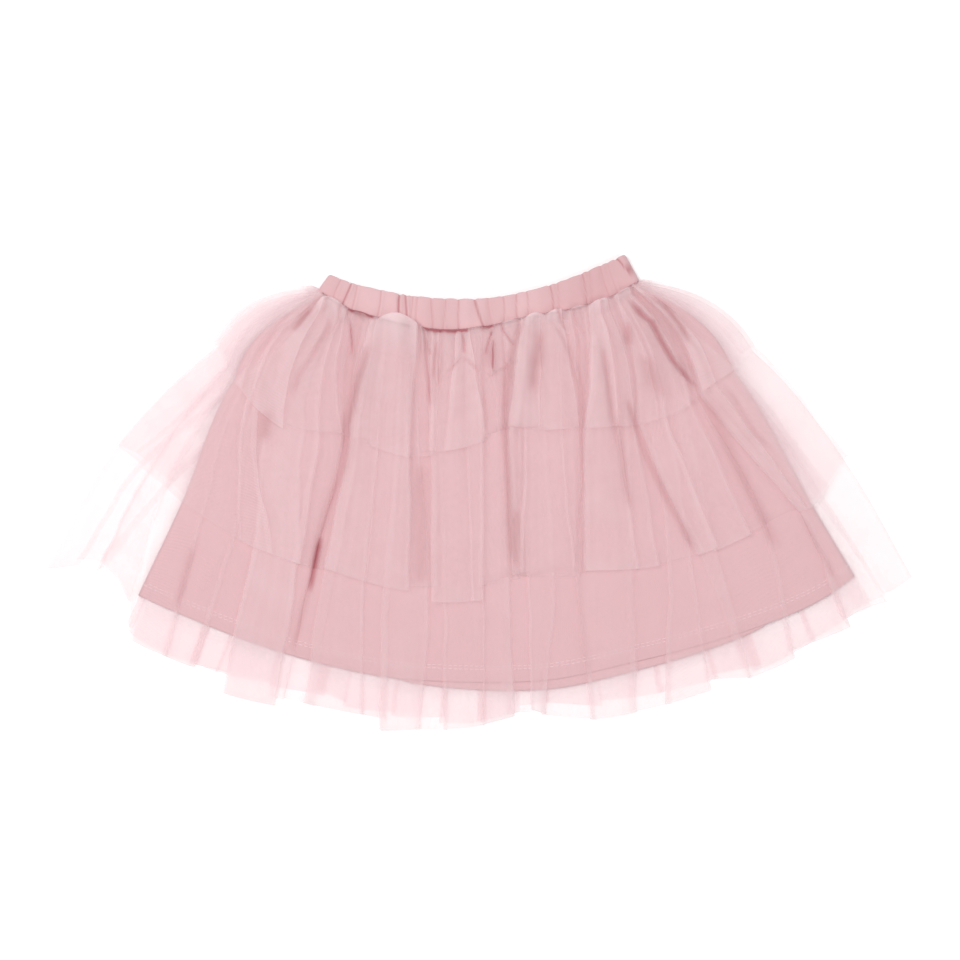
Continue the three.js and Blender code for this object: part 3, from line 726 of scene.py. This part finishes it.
def front_side(tier, node, columns, rng):
    """The front of a tier: its points, how full and how dark the cloth looks."""
    spec = TIERS[tier]
    levels, rows = spec["levels"], spec["rows"]
    down = row_places(levels, rows) * CLOTH_LENGTH[tier]
    x, lift, drop, full, shade = columns
    x, y = plan_points(x, drop, levels, rows)
    fine, broad = ripples(rng, x, down)
    gather = np.exp(-down / GATHER_LENGTH)
    from_end = np.minimum(np.arange(len(x)), np.arange(len(x))[::-1])
    ends = smooth(from_end / 6)[:, None]
    waves = sum(
        noise * (wave["open"] + wave["gathered"] * gather)
        for noise, wave in ((fine, FINE), (broad, BROAD)))
    deep, dark = crease_marks(x, y, tier)
    z = draped_height(node, x, y, levels, rows) - FRONT_SINK + lift
    z += (waves * smooth(down / 6) - deep) * ends
    z -= (SEAM_DIP + OPEN_DIP * open_seam(x[:, :1])) * np.exp(-down / DIP_LENGTH) * ends
    ground = lining_top(x, y) + CLEARANCE[tier] + 0.7 * lift
    z = np.where(ends > 0.9, np.maximum(z, ground), z)
    lifted = seam_puff(x, y, z, down) if tier == "short" else 0 * x
    tucked_in(x, y, z, FRONT_TUCK)
    dense, beside = fullness(full, x, y, spec, down)
    dense *= (1 + 0.04 * fine + 0.1 * broad) * (1 + 2 * lifted)
    hem = (down > down[-1] - HEM_LINE / 2) * (y > LINING_HEM(x)) * ~beside
    # Painted shade: the creases, the cloth under the edges of folds and the waist seam are darkened; raw
    # hems get a dark line
    dark = np.maximum.reduce([dark, shade, seam_shade(x, down), HEM_DARK * hem])
    return np.stack([x, y, z], -1), dense, dark


def back_side(tier, node, columns):
    """The back of a tier, flat on the floor: its points, and how full the cloth looks."""
    spec = TIERS[tier]
    down = row_places(spec["levels"], spec["rows"]) * CLOTH_LENGTH[tier]
    x, lift, drop, full, _ = columns
    x, y = plan_points(x, drop, spec["levels"], spec["rows"])
    z = HeightField(node, above=False)(x, y) + BACK_SINK + lift
    tucked_in(x, y, z, BACK_TUCK)
    return np.stack([x, y, z], -1), fullness(full, x, y, spec, down)[0]


def tier_sheet(tier, node, material):
    """One tulle tier as a sheet all round, from the seam to its hem."""
    spec = TIERS[tier]
    rng = np.random.default_rng(SEED + len(spec["levels"]))
    front_columns = run_columns(tier, spec["folds"], spec["swell"], rng)
    back_columns = run_columns(tier, back_folds(tier, rng), BACK_SWELL, rng)
    front, dense, dark = front_side(tier, node, front_columns, rng)
    back, back_dense = back_side(tier, node, back_columns)
    right, left = side_arc(front[-1], back[-1]), side_arc(front[0], back[0])
    points = np.concatenate([front, right, back[::-1], left[::-1]])
    down = row_places(spec["levels"], spec["rows"]) * CLOTH_LENGTH[tier]
    side = 1 + (spec["beside"][1] - 1) * smooth(down / SPREAD_LENGTH)
    side_dense = np.tile(side, (len(right), 1))
    # Fullness, and the painted shade with the dark hem lines, go to the tulle's material as marks
    marks = {
        "fullness": np.concatenate([dense, side_dense, back_dense[::-1], side_dense]),
        "shade_and_tone": np.pad(dark, [(0, len(points) - len(dark)), (0, 0)]),
    }
    return sheet_object("tulle_" + tier, points * MM, material, ring=True, marks=marks)


# Meshes

def new_object(name, data):
    thing = bpy.data.objects.new(name, data)
    bpy.context.scene.collection.objects.link(thing)
    return thing


def new_piece(name, points, faces, material):
    """A smooth mesh of one material, as an object of the scene."""
    mesh = bpy.data.meshes.new(name)
    mesh.from_pydata(points, [], faces)
    mesh.shade_smooth()
    mesh.materials.append(material)
    return new_object(name, mesh)


def sheet_object(name, points, material, ring=False, marks=None):
    """A mesh from a grid of points, column by column, with the cloth's own lengths as UVs."""
    columns, rows = points.shape[:2]
    index = np.arange(columns * rows).reshape(columns, rows)
    here = index if ring else index[:-1]
    there = np.roll(index, -1, axis=0) if ring else index[1:]
    faces = np.stack([here[:, :-1], here[:, 1:], there[:, 1:], there[:, :-1]], -1).reshape(-1, 4)
    sheet = new_piece(name, points.reshape(-1, 3).tolist(), faces.tolist(), material)
    across = np.linalg.norm(np.diff(points, axis=0, append=points[:1]), axis=-1).mean(1)
    u = np.concatenate([[0], np.cumsum(across)])
    v = np.concatenate([[0], np.cumsum(np.linalg.norm(np.diff(points, axis=1), axis=-1).mean(0))])
    column = faces // rows
    column[:, 2:][column[:, 2:] < column[:, :1]] += columns
    uv = np.stack([u[column], v[faces % rows]], -1)
    layer = sheet.data.uv_layers.new(name="cloth")
    layer.data.foreach_set("uv", uv.reshape(-1).astype(np.float32))
    for mark, values in (marks or {}).items():
        attribute = sheet.data.attributes.new(mark, "FLOAT", "POINT")
        attribute.data.foreach_set("value", values.reshape(-1).astype(np.float32))
    return sheet


# Lining

# The grid of a panel, its thickness, its soft waves, how far the turned hem stands up, and
# how far the back panel hangs below the front one
LINING_LEVELS = ["seam", "short", "mid", "lining"]
LINING_GRID = (180, 110)
LINING_THICK = 0.9
LINING_WAVE = {"across": 38, "along": 60, "high": 0.35}
TURNED_HEM = 0.35
BACK_LINING_DROP = 7

# The twin needle rows run this far above the hem
HEM_ROWS = (10, 12.4)

# The front panel comes down on the back one over these widths at its sides and its hem
SIDE_SLOPE = 6
HEM_SLOPE = 8


def lining_panel(name, node, material, drop, lies_on=None):
    """A jersey panel on the form of its solid, with soft waves.

    Its sides and its hem come down on the panel that it lies on."""
    columns, rows = LINING_GRID
    left, right = lining_edges(LINING_LEVELS, rows)
    x = left + (right - left) * np.linspace(0, 1, columns)[:, None]
    x, y = plan_points(x, drop(x[:, -1]), LINING_LEVELS, rows)
    rng = np.random.default_rng(SEED + len(name))
    u, v = np.abs(x - x.min()), np.abs(y - y.max())
    wave = soft_noise_2d(rng, u, v, LINING_WAVE["across"], LINING_WAVE["along"])
    to_hem = y - LINING_HEM(x) + drop(x)
    turned = smooth((HEM_ROWS[1] + 1 - to_hem) / 1.2)
    z = HeightField(node)(x, y) - LINING_THICK / 2 + LINING_WAVE["high"] * wave
    z += TURNED_HEM * turned
    if lies_on:
        to_side = np.minimum(x - left, right - x)
        down = np.maximum(smooth(1 - to_side / SIDE_SLOPE), smooth(1 - to_hem / HEM_SLOPE))
        under = HeightField(lies_on)(x, y) + LINING_THICK / 2
        z += (np.minimum(under, z) - z) * down
    panel = sheet_object(name, np.stack([x, y, z], -1) * MM, material)
    solid = panel.modifiers.new("thickness", "SOLIDIFY")
    solid.thickness = LINING_THICK * MM
    solid.offset = 0
    return panel


def front_drop(x):
    """The front panel hangs to the hem's curve."""
    return 0 * x


def back_drop(x):
    """How far the back panel hangs below the front one."""
    t = np.clip((x + 60) / 275, 0, 1)
    return BACK_LINING_DROP * np.sqrt(np.sin(np.pi * t))


# Waistband

# The padded ring as it lies: its wall, height and length, how square its wall is from seam
# to top and through it, and its grid
BAND_WALL = 2.4
BAND_HEIGHT = 9
BAND_LENGTH = 240
BAND_SQUARE = (0.45, 0.6)
BAND_COLUMNS = 420
BAND_ROWS = 28

# Steps of the half circle at either end, where the ring turns from the front to the back
BAND_TURN_STEPS = 8

# Places along the band: x at the seam, and x and y at its top edge
BAND_STATIONS = [
    (-121, -111, 163.5), (-100, -94, 157), (-75, -73, 152), (-49, -51, 148), (-22, -26, 145.8),
    (8, 4, 146), (38, 31, 150.3), (72, 62, 159), (100, 89, 170), (119.5, 108, 178.4),
]

# The creases of the band: x at its top edge and at the seam, depth and half width
BAND_CREASES = [
    (-104, -109, 0.8, 2.0), (-96.5, -102, 1.5, 1.6), (-92, -95, 0.7, 2.0), (-74, -76, 0.7, 2.2),
    (-59.5, -60, 1.6, 1.3), (-54.5, -55, 1.4, 1.3), (-50.5, -51.5, 0.7, 2), (-46, -47, 0.6, 2),
    (-35.5, -36, 0.8, 2), (-26, -26.5, 0.8, 2), (-16, -15, 0.9, 2), (-3.5, 3, 1.4, 1.6),
    (7, 8.5, 0.7, 2), (17, 18.5, 0.8, 2), (27, 29, 0.9, 1.8), (34.5, 37, 0.7, 2),
    (52, 56, 1.2, 1.5), (57.5, 61, 0.8, 1.8), (76, 81, 1.2, 1.6), (81, 86, 0.8, 1.8),
    (90.5, 97, 0.9, 1.6), (96, 103, 0.7, 2), (101.5, 118.5, 1.7, 1.5),
]


def band_plan(s, w):
    """A point of the band in plan, share s along it and share w of the way up."""
    low_x, top_x, top_y = np.array(BAND_STATIONS, float).T
    span = np.linspace(0, 1, len(BAND_STATIONS))
    x = np.interp(s, span, low_x)
    low = np.stack([x, SEAM(x)], -1)
    high = np.stack([curve(*zip(span, top_x))(s), curve(*zip(span, top_y))(s)], -1)
    return low + (high - low) * np.asarray(w)[..., None]


def band_puckers(x, w):
    """How far the outer face of the band stands out, and how dark it is painted: shade painted in its
    creases, and a tone that changes softly along it and grows darker towards the right.
    """
    height = 1.2 + 0.4 * np.sin(x / 3.1 + 2 * np.sin(x / 17)) + 0.18 * np.sin(x / 1.7 + 1.3 * w)
    dark = np.zeros_like(x)
    for top, low, depth, half in BAND_CREASES:
        bend = 0.8 * np.sin(3 * w + low)
        right = x - low - (top - low) * w - bend
        away = np.abs(right)
        height -= 1.5 * depth * np.exp(-away / half)
        height += 0.8 * depth * np.exp(-((right - 1.7) / 1.1) ** 2)
        # Painted shade: a thin dark line down each crease
        dark = np.maximum(dark, 0.5 * depth * np.exp(-(away / 0.7) ** 2))
    tone = 0.1 + 0.06 * np.sin(x / 9 + 1.5 * np.sin(x / 23)) + 0.14 * smooth((x - 40) / 60)
    return height, np.maximum(dark, tone)


def band_notches(x, w):
    """How far the gathers pull down the upper edge of the band."""
    dip = 0.25 * np.sin(x / 1.9 + 3 * np.sin(x / 11))
    for top, _, depth, _ in BAND_CREASES:
        dip += depth * np.exp(-((x - top) / 1.4) ** 2)
    return 0.6 * dip * w ** 4


def pressed_ring(inset):
    """Round the band: the share along it and the angle turned, from its front to its back."""
    along = np.linspace(inset, 1 - inset, BAND_COLUMNS)
    turns = np.linspace(0, np.pi, BAND_TURN_STEPS + 1)[1:-1]
    still = np.ones_like(turns)
    share = np.concatenate([along, (1 - inset) * still, along[::-1], inset * still])
    turned = np.concatenate([0 * along, turns, 0 * along + np.pi, np.pi + turns])
    return share[:, None], turned[:, None]


def weld(thing):
    """Joins the points of a mesh that lie in one place, and turns its faces outwards."""
    work = bmesh.new()
    work.from_mesh(thing.data)
    bmesh.ops.remove_doubles(work, verts=work.verts, dist=0.01 * MM)
    bmesh.ops.recalc_face_normals(work, faces=work.faces)
    work.to_mesh(thing.data)
    work.free()
    return thing


def waistband(material):
    """The band as a gathered casing: a padded ring pressed flat."""
    half_wall = BAND_WALL / 2
    turn = (BAND_HEIGHT - BAND_WALL) / 2
    s, turned = pressed_ring((turn + half_wall) / BAND_LENGTH)
    loop = np.linspace(0, 2 * np.pi, BAND_ROWS, endpoint=False)
    loop = np.append(loop, 0)[None, :]
    w = 0.5 - 0.5 * np.sign(np.cos(loop)) * np.abs(np.cos(loop)) ** BAND_SQUARE[0]
    face = np.sign(np.sin(loop)) * np.abs(np.sin(loop)) ** BAND_SQUARE[1]
    s, w = np.broadcast_arrays(s, w)
    plan = band_plan(s, w)
    near = 0.004
    ahead = band_plan(np.minimum(s + near, 1), w) - band_plan(np.maximum(s - near, 0), w)
    ahead /= np.linalg.norm(ahead, axis=-1, keepdims=True)
    plan[..., 1] -= band_notches(plan[..., 0], w)
    pucker, dark = band_puckers(plan[..., 0], w)
    pucker = pucker * np.sin(np.pi * np.clip(s, near, 1 - near)) ** 0.3
    front_share = np.clip(np.cos(turned), 0, 1)
    reach = turn + face * half_wall + np.where(face > 0, face * pucker * front_share, 0)
    xy = plan + ahead * (np.sin(turned) * reach)[..., None]
    z = BAND_HEIGHT / 2 + np.cos(turned) * reach
    points = np.concatenate([xy, z[..., None]], -1) * MM
    # Painted shade of the creases on the band's front, with its tone, goes to its material as a mark
    marks = {"shade_and_tone": dark * front_share * (face > 0)}
    return weld(sheet_object("waistband_jersey", points, material, ring=True, marks=marks))


# Sewing

# A stitch of the hems: its length, the gap to the next, its thickness, how far its middle
# stands over the cloth, and how far its ends sink. Its rays start this far out, in metres.
STITCH_LENGTH = 3.2
STITCH_GAP = 0.8
STITCH_THICK = 0.7
STITCH_RISE = 0.2
STITCH_SINK = 0.35
STITCH_RAY = 0.1

# The overlock thread along the waist seam: its x from and to, the length of a loop, how far
# it swings in plan and in height, its thickness, and how high it lies
OVERLOCK_REACH = (-117, 119)
OVERLOCK_LOOP = 2.4
OVERLOCK_SWING = (0.75, 0.25)
OVERLOCK_THICK = 0.76
OVERLOCK_HEIGHT = 9.9


def tube_points(path, radius, sides=5):
    """Rings of points round a path, each across its direction."""
    path = np.asarray(path, float)
    along = np.gradient(path, axis=0)
    along /= np.linalg.norm(along, axis=1, keepdims=True)
    across = np.cross(along, (0, 0, 1))
    across /= np.linalg.norm(across, axis=1, keepdims=True)
    upright = np.cross(across, along)
    angles = np.linspace(0, 2 * np.pi, sides, endpoint=False)
    rings = [across * math.cos(a) + upright * math.sin(a) for a in angles]
    return path[:, None] + radius * np.stack(rings, 1)


def threads(name, paths, radius, material):
    """Many threads as one mesh, each a closed tube along its path."""
    verts, faces = [], []
    for path in paths:
        rings = tube_points(path, radius)
        count, sides = rings.shape[:2]
        start = len(verts)
        verts += rings.reshape(-1, 3).tolist()
        for i, k in np.ndindex(count - 1, sides):
            a, b = start + i * sides + k, start + i * sides + (k + 1) % sides
            faces.append((a, b, b + sides, a + sides))
        faces.append(tuple(range(start + sides - 1, start - 1, -1)))
        faces.append(tuple(range(start + (count - 1) * sides, start + count * sides)))
    return new_piece(name, verts, faces, material)


def hem_stitches(name, panel, drop, side, material):
    """Two rows of straight stitches along the hem of a lining panel, on its outer side."""
    tree = BVHTree.FromObject(panel, bpy.context.evaluated_depsgraph_get())
    left, right = LINING_EDGES["lining"]
    step = STITCH_LENGTH + STITCH_GAP
    paths = []
    for row in HEM_ROWS:
        for x in np.arange(left + step, right - step, step):
            path = []
            for t in (0, 0.33, 0.67, 1):
                px = x + STITCH_LENGTH * t
                py = LINING_HEM(px) - drop(px) + row
                sink = STITCH_SINK * (2 * t - 1) ** 2
                start = Vector((px * MM, py * MM, side * STITCH_RAY))
                hit = tree.ray_cast(start, Vector((0, 0, -side)))[0]
                if hit is not None:
                    path.append((px * MM, py * MM, hit.z + side * (STITCH_RISE - sink) * MM))
            if len(path) == 4:
                paths.append(path)
    return threads(name, paths, STITCH_THICK / 2 * MM, material)


def seam_thread(material):
    """The overlock thread along the waist seam, in small loops from band to gathers."""
    x = np.arange(*OVERLOCK_REACH, 0.5)
    swing = np.sin(2 * np.pi * x / OVERLOCK_LOOP)
    y = SEAM(x) + 0.2 + OVERLOCK_SWING[0] * swing
    z = OVERLOCK_HEIGHT + OVERLOCK_SWING[1] * swing
    path = np.stack([x, y, z], -1) * MM
    return threads("waist_seam_thread", [path], OVERLOCK_THICK / 2 * MM, material)


# Materials

def linear(red, green, blue):
    """A colour as it looks on screen, from 0 to 255, in the renderer's linear values."""
    parts = [c / 255 for c in (red, green, blue)]
    return tuple(c / 12.92 if c <= 0.04045 else ((c + 0.055) / 1.055) ** 2.4 for c in parts) + (1,)


def shader(name):
    """A new material, and a function that adds a node to it.

    The function sets or links the node's inputs, by name or by place, and its settings, and
    returns its output of the given place or name."""
    material = bpy.data.materials.new(name)
    material.use_nodes = True
    tree = material.node_tree
    tree.nodes.clear()

    def add(kind, inputs=None, output=0, **settings):
        node = tree.nodes.new("ShaderNode" + kind)
        for setting, value in settings.items():
            setattr(node, setting, value)
        for key, value in (inputs or {}).items():
            if isinstance(value, bpy.types.NodeSocket):
                tree.links.new(value, node.inputs[key])
            else:
                node.inputs[key].default_value = value
        return node.outputs[output] if node.outputs else None

    return material, add


def thread_material(name, colour):
    """Twisted sewing thread, a little shiny."""
    material, add = shader(name)
    twist = add("TexWave", {"Scale": 900}, "Fac")
    dark = linear(*[c * 0.9 for c in colour])
    tone = add("MixRGB", {0: twist, 1: linear(*colour), 2: dark})
    thread = add("BsdfPrincipled", {"Base Color": tone, "Roughness": 0.5})
    add("OutputMaterial", {0: thread})
    return material


# How much one flat layer of tulle covers, the size of its net, and how far the net, the
# streaks along the cloth and the soft clouds change what it covers
TULLE_COVER = 0.3
NET_CELL = 0.001
NET_CONTRAST = 0.3
STREAK_SIZE = (0.0045, 0.09)
STREAK_CONTRAST = 0.2
CLOUD_SIZE = 0.024
CLOUD_CONTRAST = 0.7
# Where shade is painted on the tulle and along its raw hems, it covers more by this much
SHADE_AND_TONE_COVER = 2.0
THREAD = (0.95, 0.828, 0.845, 1)
# The threads' colour where that painted shade is darkest
THREAD_IN_SHADE_AND_TONE = (0.6, 0.22, 0.25, 1)

# What is left of the red, green and blue of light that passes through a thread, and the share
# of light that passes through
THREAD_TINT = (1, 0.93, 0.935, 1)
THREAD_GLOW = 0.42


def tulle_net(add, maths):
    """How dense the net is at each place of the cloth: its cells, with streaks and clouds."""
    cloth = add("UVMap", uv_map="cloth")
    turns = 2 * math.pi / NET_CELL
    waves = [
        maths("COSINE", maths("MULTIPLY", add("SeparateXYZ", {0: cloth}, axis), turns))
        for axis in ("X", "Y")
    ]
    base = 1 - (STREAK_CONTRAST + CLOUD_CONTRAST) / 2
    net = maths("MULTIPLY_ADD", maths("MULTIPLY", *waves), NET_CONTRAST, base)
    stretch = (1 / STREAK_SIZE[0], 1 / STREAK_SIZE[1], 1)
    stretched = add("VectorMath", {0: cloth, 1: stretch}, operation="MULTIPLY")
    for place, scale, detail, contrast in [
            (stretched, 1, 0, STREAK_CONTRAST), (cloth, 1 / CLOUD_SIZE, 1, CLOUD_CONTRAST)]:
        noise = add("TexNoise", {"Vector": place, "Scale": scale, "Detail": detail}, "Fac",
                    noise_dimensions="2D")
        net = maths("MULTIPLY_ADD", noise, contrast, net)
    return net


def tulle_material():
    """Fine net, sheer: threads that scatter light both ways, and holes between them."""
    material, add = shader("tulle")

    def maths(operation, *values):
        return add("Math", dict(enumerate(values)), operation=operation)

    net = tulle_net(add, maths)
    shade_and_tone = add("Attribute", output="Fac", attribute_name="shade_and_tone")
    full = add("Attribute", output="Fac", attribute_name="fullness")
    thick = maths("MULTIPLY", maths("MULTIPLY_ADD", shade_and_tone, SHADE_AND_TONE_COVER, full), net)
    cover = maths("SUBTRACT", 1.0, maths("POWER", 1 - TULLE_COVER, thick))

    # Painted shade: the threads turn towards a darker rose in creases, under fold edges and at the seam, and
    # along raw hems
    colour = add("MixRGB", {0: shade_and_tone, 1: THREAD, 2: THREAD_IN_SHADE_AND_TONE})
    tint = add("MixRGB", {0: 1, 1: colour, 2: THREAD_TINT}, blend_type="MULTIPLY")
    threads = add("BsdfPrincipled", {
        "Base Color": colour, "Roughness": 0.8, "Specular IOR Level": 0.15})
    glow = add("BsdfTranslucent", {"Color": tint})
    both = add("MixShader", {0: THREAD_GLOW, 1: threads, 2: glow})
    mix = add("MixShader", {0: cover, 1: add("BsdfTransparent"), 2: both})
    add("OutputMaterial", {0: mix})
    return material


# How much of the red, green and blue of jersey is left where the shade painted in a crease of the band is
# darkest; the band's tone changes darken towards it too
JERSEY_SHADE_AND_TONE = (0.8, 0.62, 0.64)


def jersey_material(name, colour):
    """Cotton jersey: fine upright wales, matt, with soft changes of tone."""
    material, add = shader(name)
    cloth = add("UVMap", uv_map="cloth")
    noise = add("TexNoise", {"Vector": cloth, "Scale": 60, "Detail": 3}, "Fac")
    darker = linear(*[c * 0.97 for c in colour])
    tone = add("MixRGB", {0: noise, 1: linear(*colour), 2: darker})
    wales = add("TexWave", {"Vector": cloth, "Scale": 260, "Distortion": 0.6}, "Fac")
    bump = add("Bump", {"Height": wales, "Strength": 0.15, "Distance": 0.0002})
    shade_and_tone = add("Attribute", output="Fac", attribute_name="shade_and_tone")
    # Painted shade in the band's creases, and its tone, darken the jersey here
    deep = linear(*[c * f for c, f in zip(colour, JERSEY_SHADE_AND_TONE)])
    crease = add("MixRGB", {0: shade_and_tone, 1: tone, 2: deep})
    jersey = add("BsdfPrincipled", {
        "Base Color": crease, "Normal": bump,
        "Roughness": 0.9, "Specular IOR Level": 0.2, "Sheen Weight": 0.2})
    add("OutputMaterial", {0: jersey})
    return material


def floor_material():
    """Matt white paper."""
    material, add = shader("floor")
    add("OutputMaterial", {0: add("BsdfDiffuse", {"Color": (0.95, 0.95, 0.95, 1)})})
    return material


# Camera, lights and floor

# The photo shows this width of the floor, and its centre lies here
PHOTO_WIDTH = 0.72
PHOTO_CENTRE = (0.0004, 0.0101)
CAMERA_HEIGHT = 2.0
FLOOR_REACH = 3

# The light from all round, and the soft lights: place, size and power of each
WORLD_LIGHT = 0.485
LIGHTS = {"key": ((-0.7, 0.6, 2.4), 1.5, 43), "fill": ((1.2, -0.5, 2.3), 1.6, 12)}


def camera():
    data = bpy.data.cameras.new("camera")
    data.lens = 100
    data.sensor_width = data.lens * PHOTO_WIDTH / CAMERA_HEIGHT
    thing = new_object("camera", data)
    thing.location = (*PHOTO_CENTRE, CAMERA_HEIGHT)
    bpy.context.scene.camera = thing


def area_light(name, place, size, power):
    """A soft light that looks at the middle of the skirt."""
    data = bpy.data.lights.new(name, "AREA")
    data.shape = "DISK"
    data.size = size
    data.energy = power
    thing = new_object(name, data)
    thing.location = place
    thing.rotation_euler = (-Vector(place)).to_track_quat("-Z", "Y").to_euler()


def studio():
    """White light from all round, the soft lights and a white floor."""
    world = bpy.data.worlds.new("studio")
    bpy.context.scene.world = world
    world.use_nodes = True
    background = world.node_tree.nodes["Background"]
    background.inputs["Color"].default_value = (1, 1, 1, 1)
    background.inputs["Strength"].default_value = WORLD_LIGHT
    for name, light in LIGHTS.items():
        area_light(name, *light)
    corners = [(x * FLOOR_REACH, y * FLOOR_REACH, 0) for x, y in [(-1, -1), (1, -1), (1, 1), (-1, 1)]]
    new_piece("floor", corners, [(0, 1, 2, 3)], floor_material())
    scene = bpy.context.scene
    scene.view_settings.view_transform = "Standard"
    scene.cycles.transparent_max_bounces = 32
    scene.cycles.diffuse_bounces = 8


def place(thing, node, slot):
    """Puts a piece in the place of its solid."""
    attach(thing, "root")
    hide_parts(node)


def sewn_on(thing):
    """A small piece that goes with the cloth that it is sewn to."""
    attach(thing, "root")
    return thing


camera()
studio()
tulle = tulle_material()
band = waistband(jersey_material("waistband_jersey", (219, 182, 185)))
place(band, "waistband", "waistband_jersey")
seam = sewn_on(seam_thread(thread_material("seam_thread", (188, 123, 133))))
sheets = {tier: tier_sheet(tier, f"tulle_{tier}_tier", tulle) for tier in TIERS}
for tier, sheet in sheets.items():
    place(sheet, f"tulle_{tier}_tier", "tulle")

lining = jersey_material("lining_jersey", (217, 176, 180))
stitching = thread_material("hem_thread", (246, 218, 221))
front = lining_panel("lining_front_panel", "lining_front", lining, front_drop, "lining_back")
back = lining_panel("lining_back_panel", "lining_back", lining, back_drop)
place(front, "lining_front", "lining_jersey")
place(back, "lining_back", "lining_jersey")
front_stitches = hem_stitches("lining_front_stitches", front, front_drop, 1, stitching)
back_stitches = hem_stitches("lining_back_stitches", back, back_drop, -1, stitching)
for stitches in (front_stitches, back_stitches):
    sewn_on(stitches)
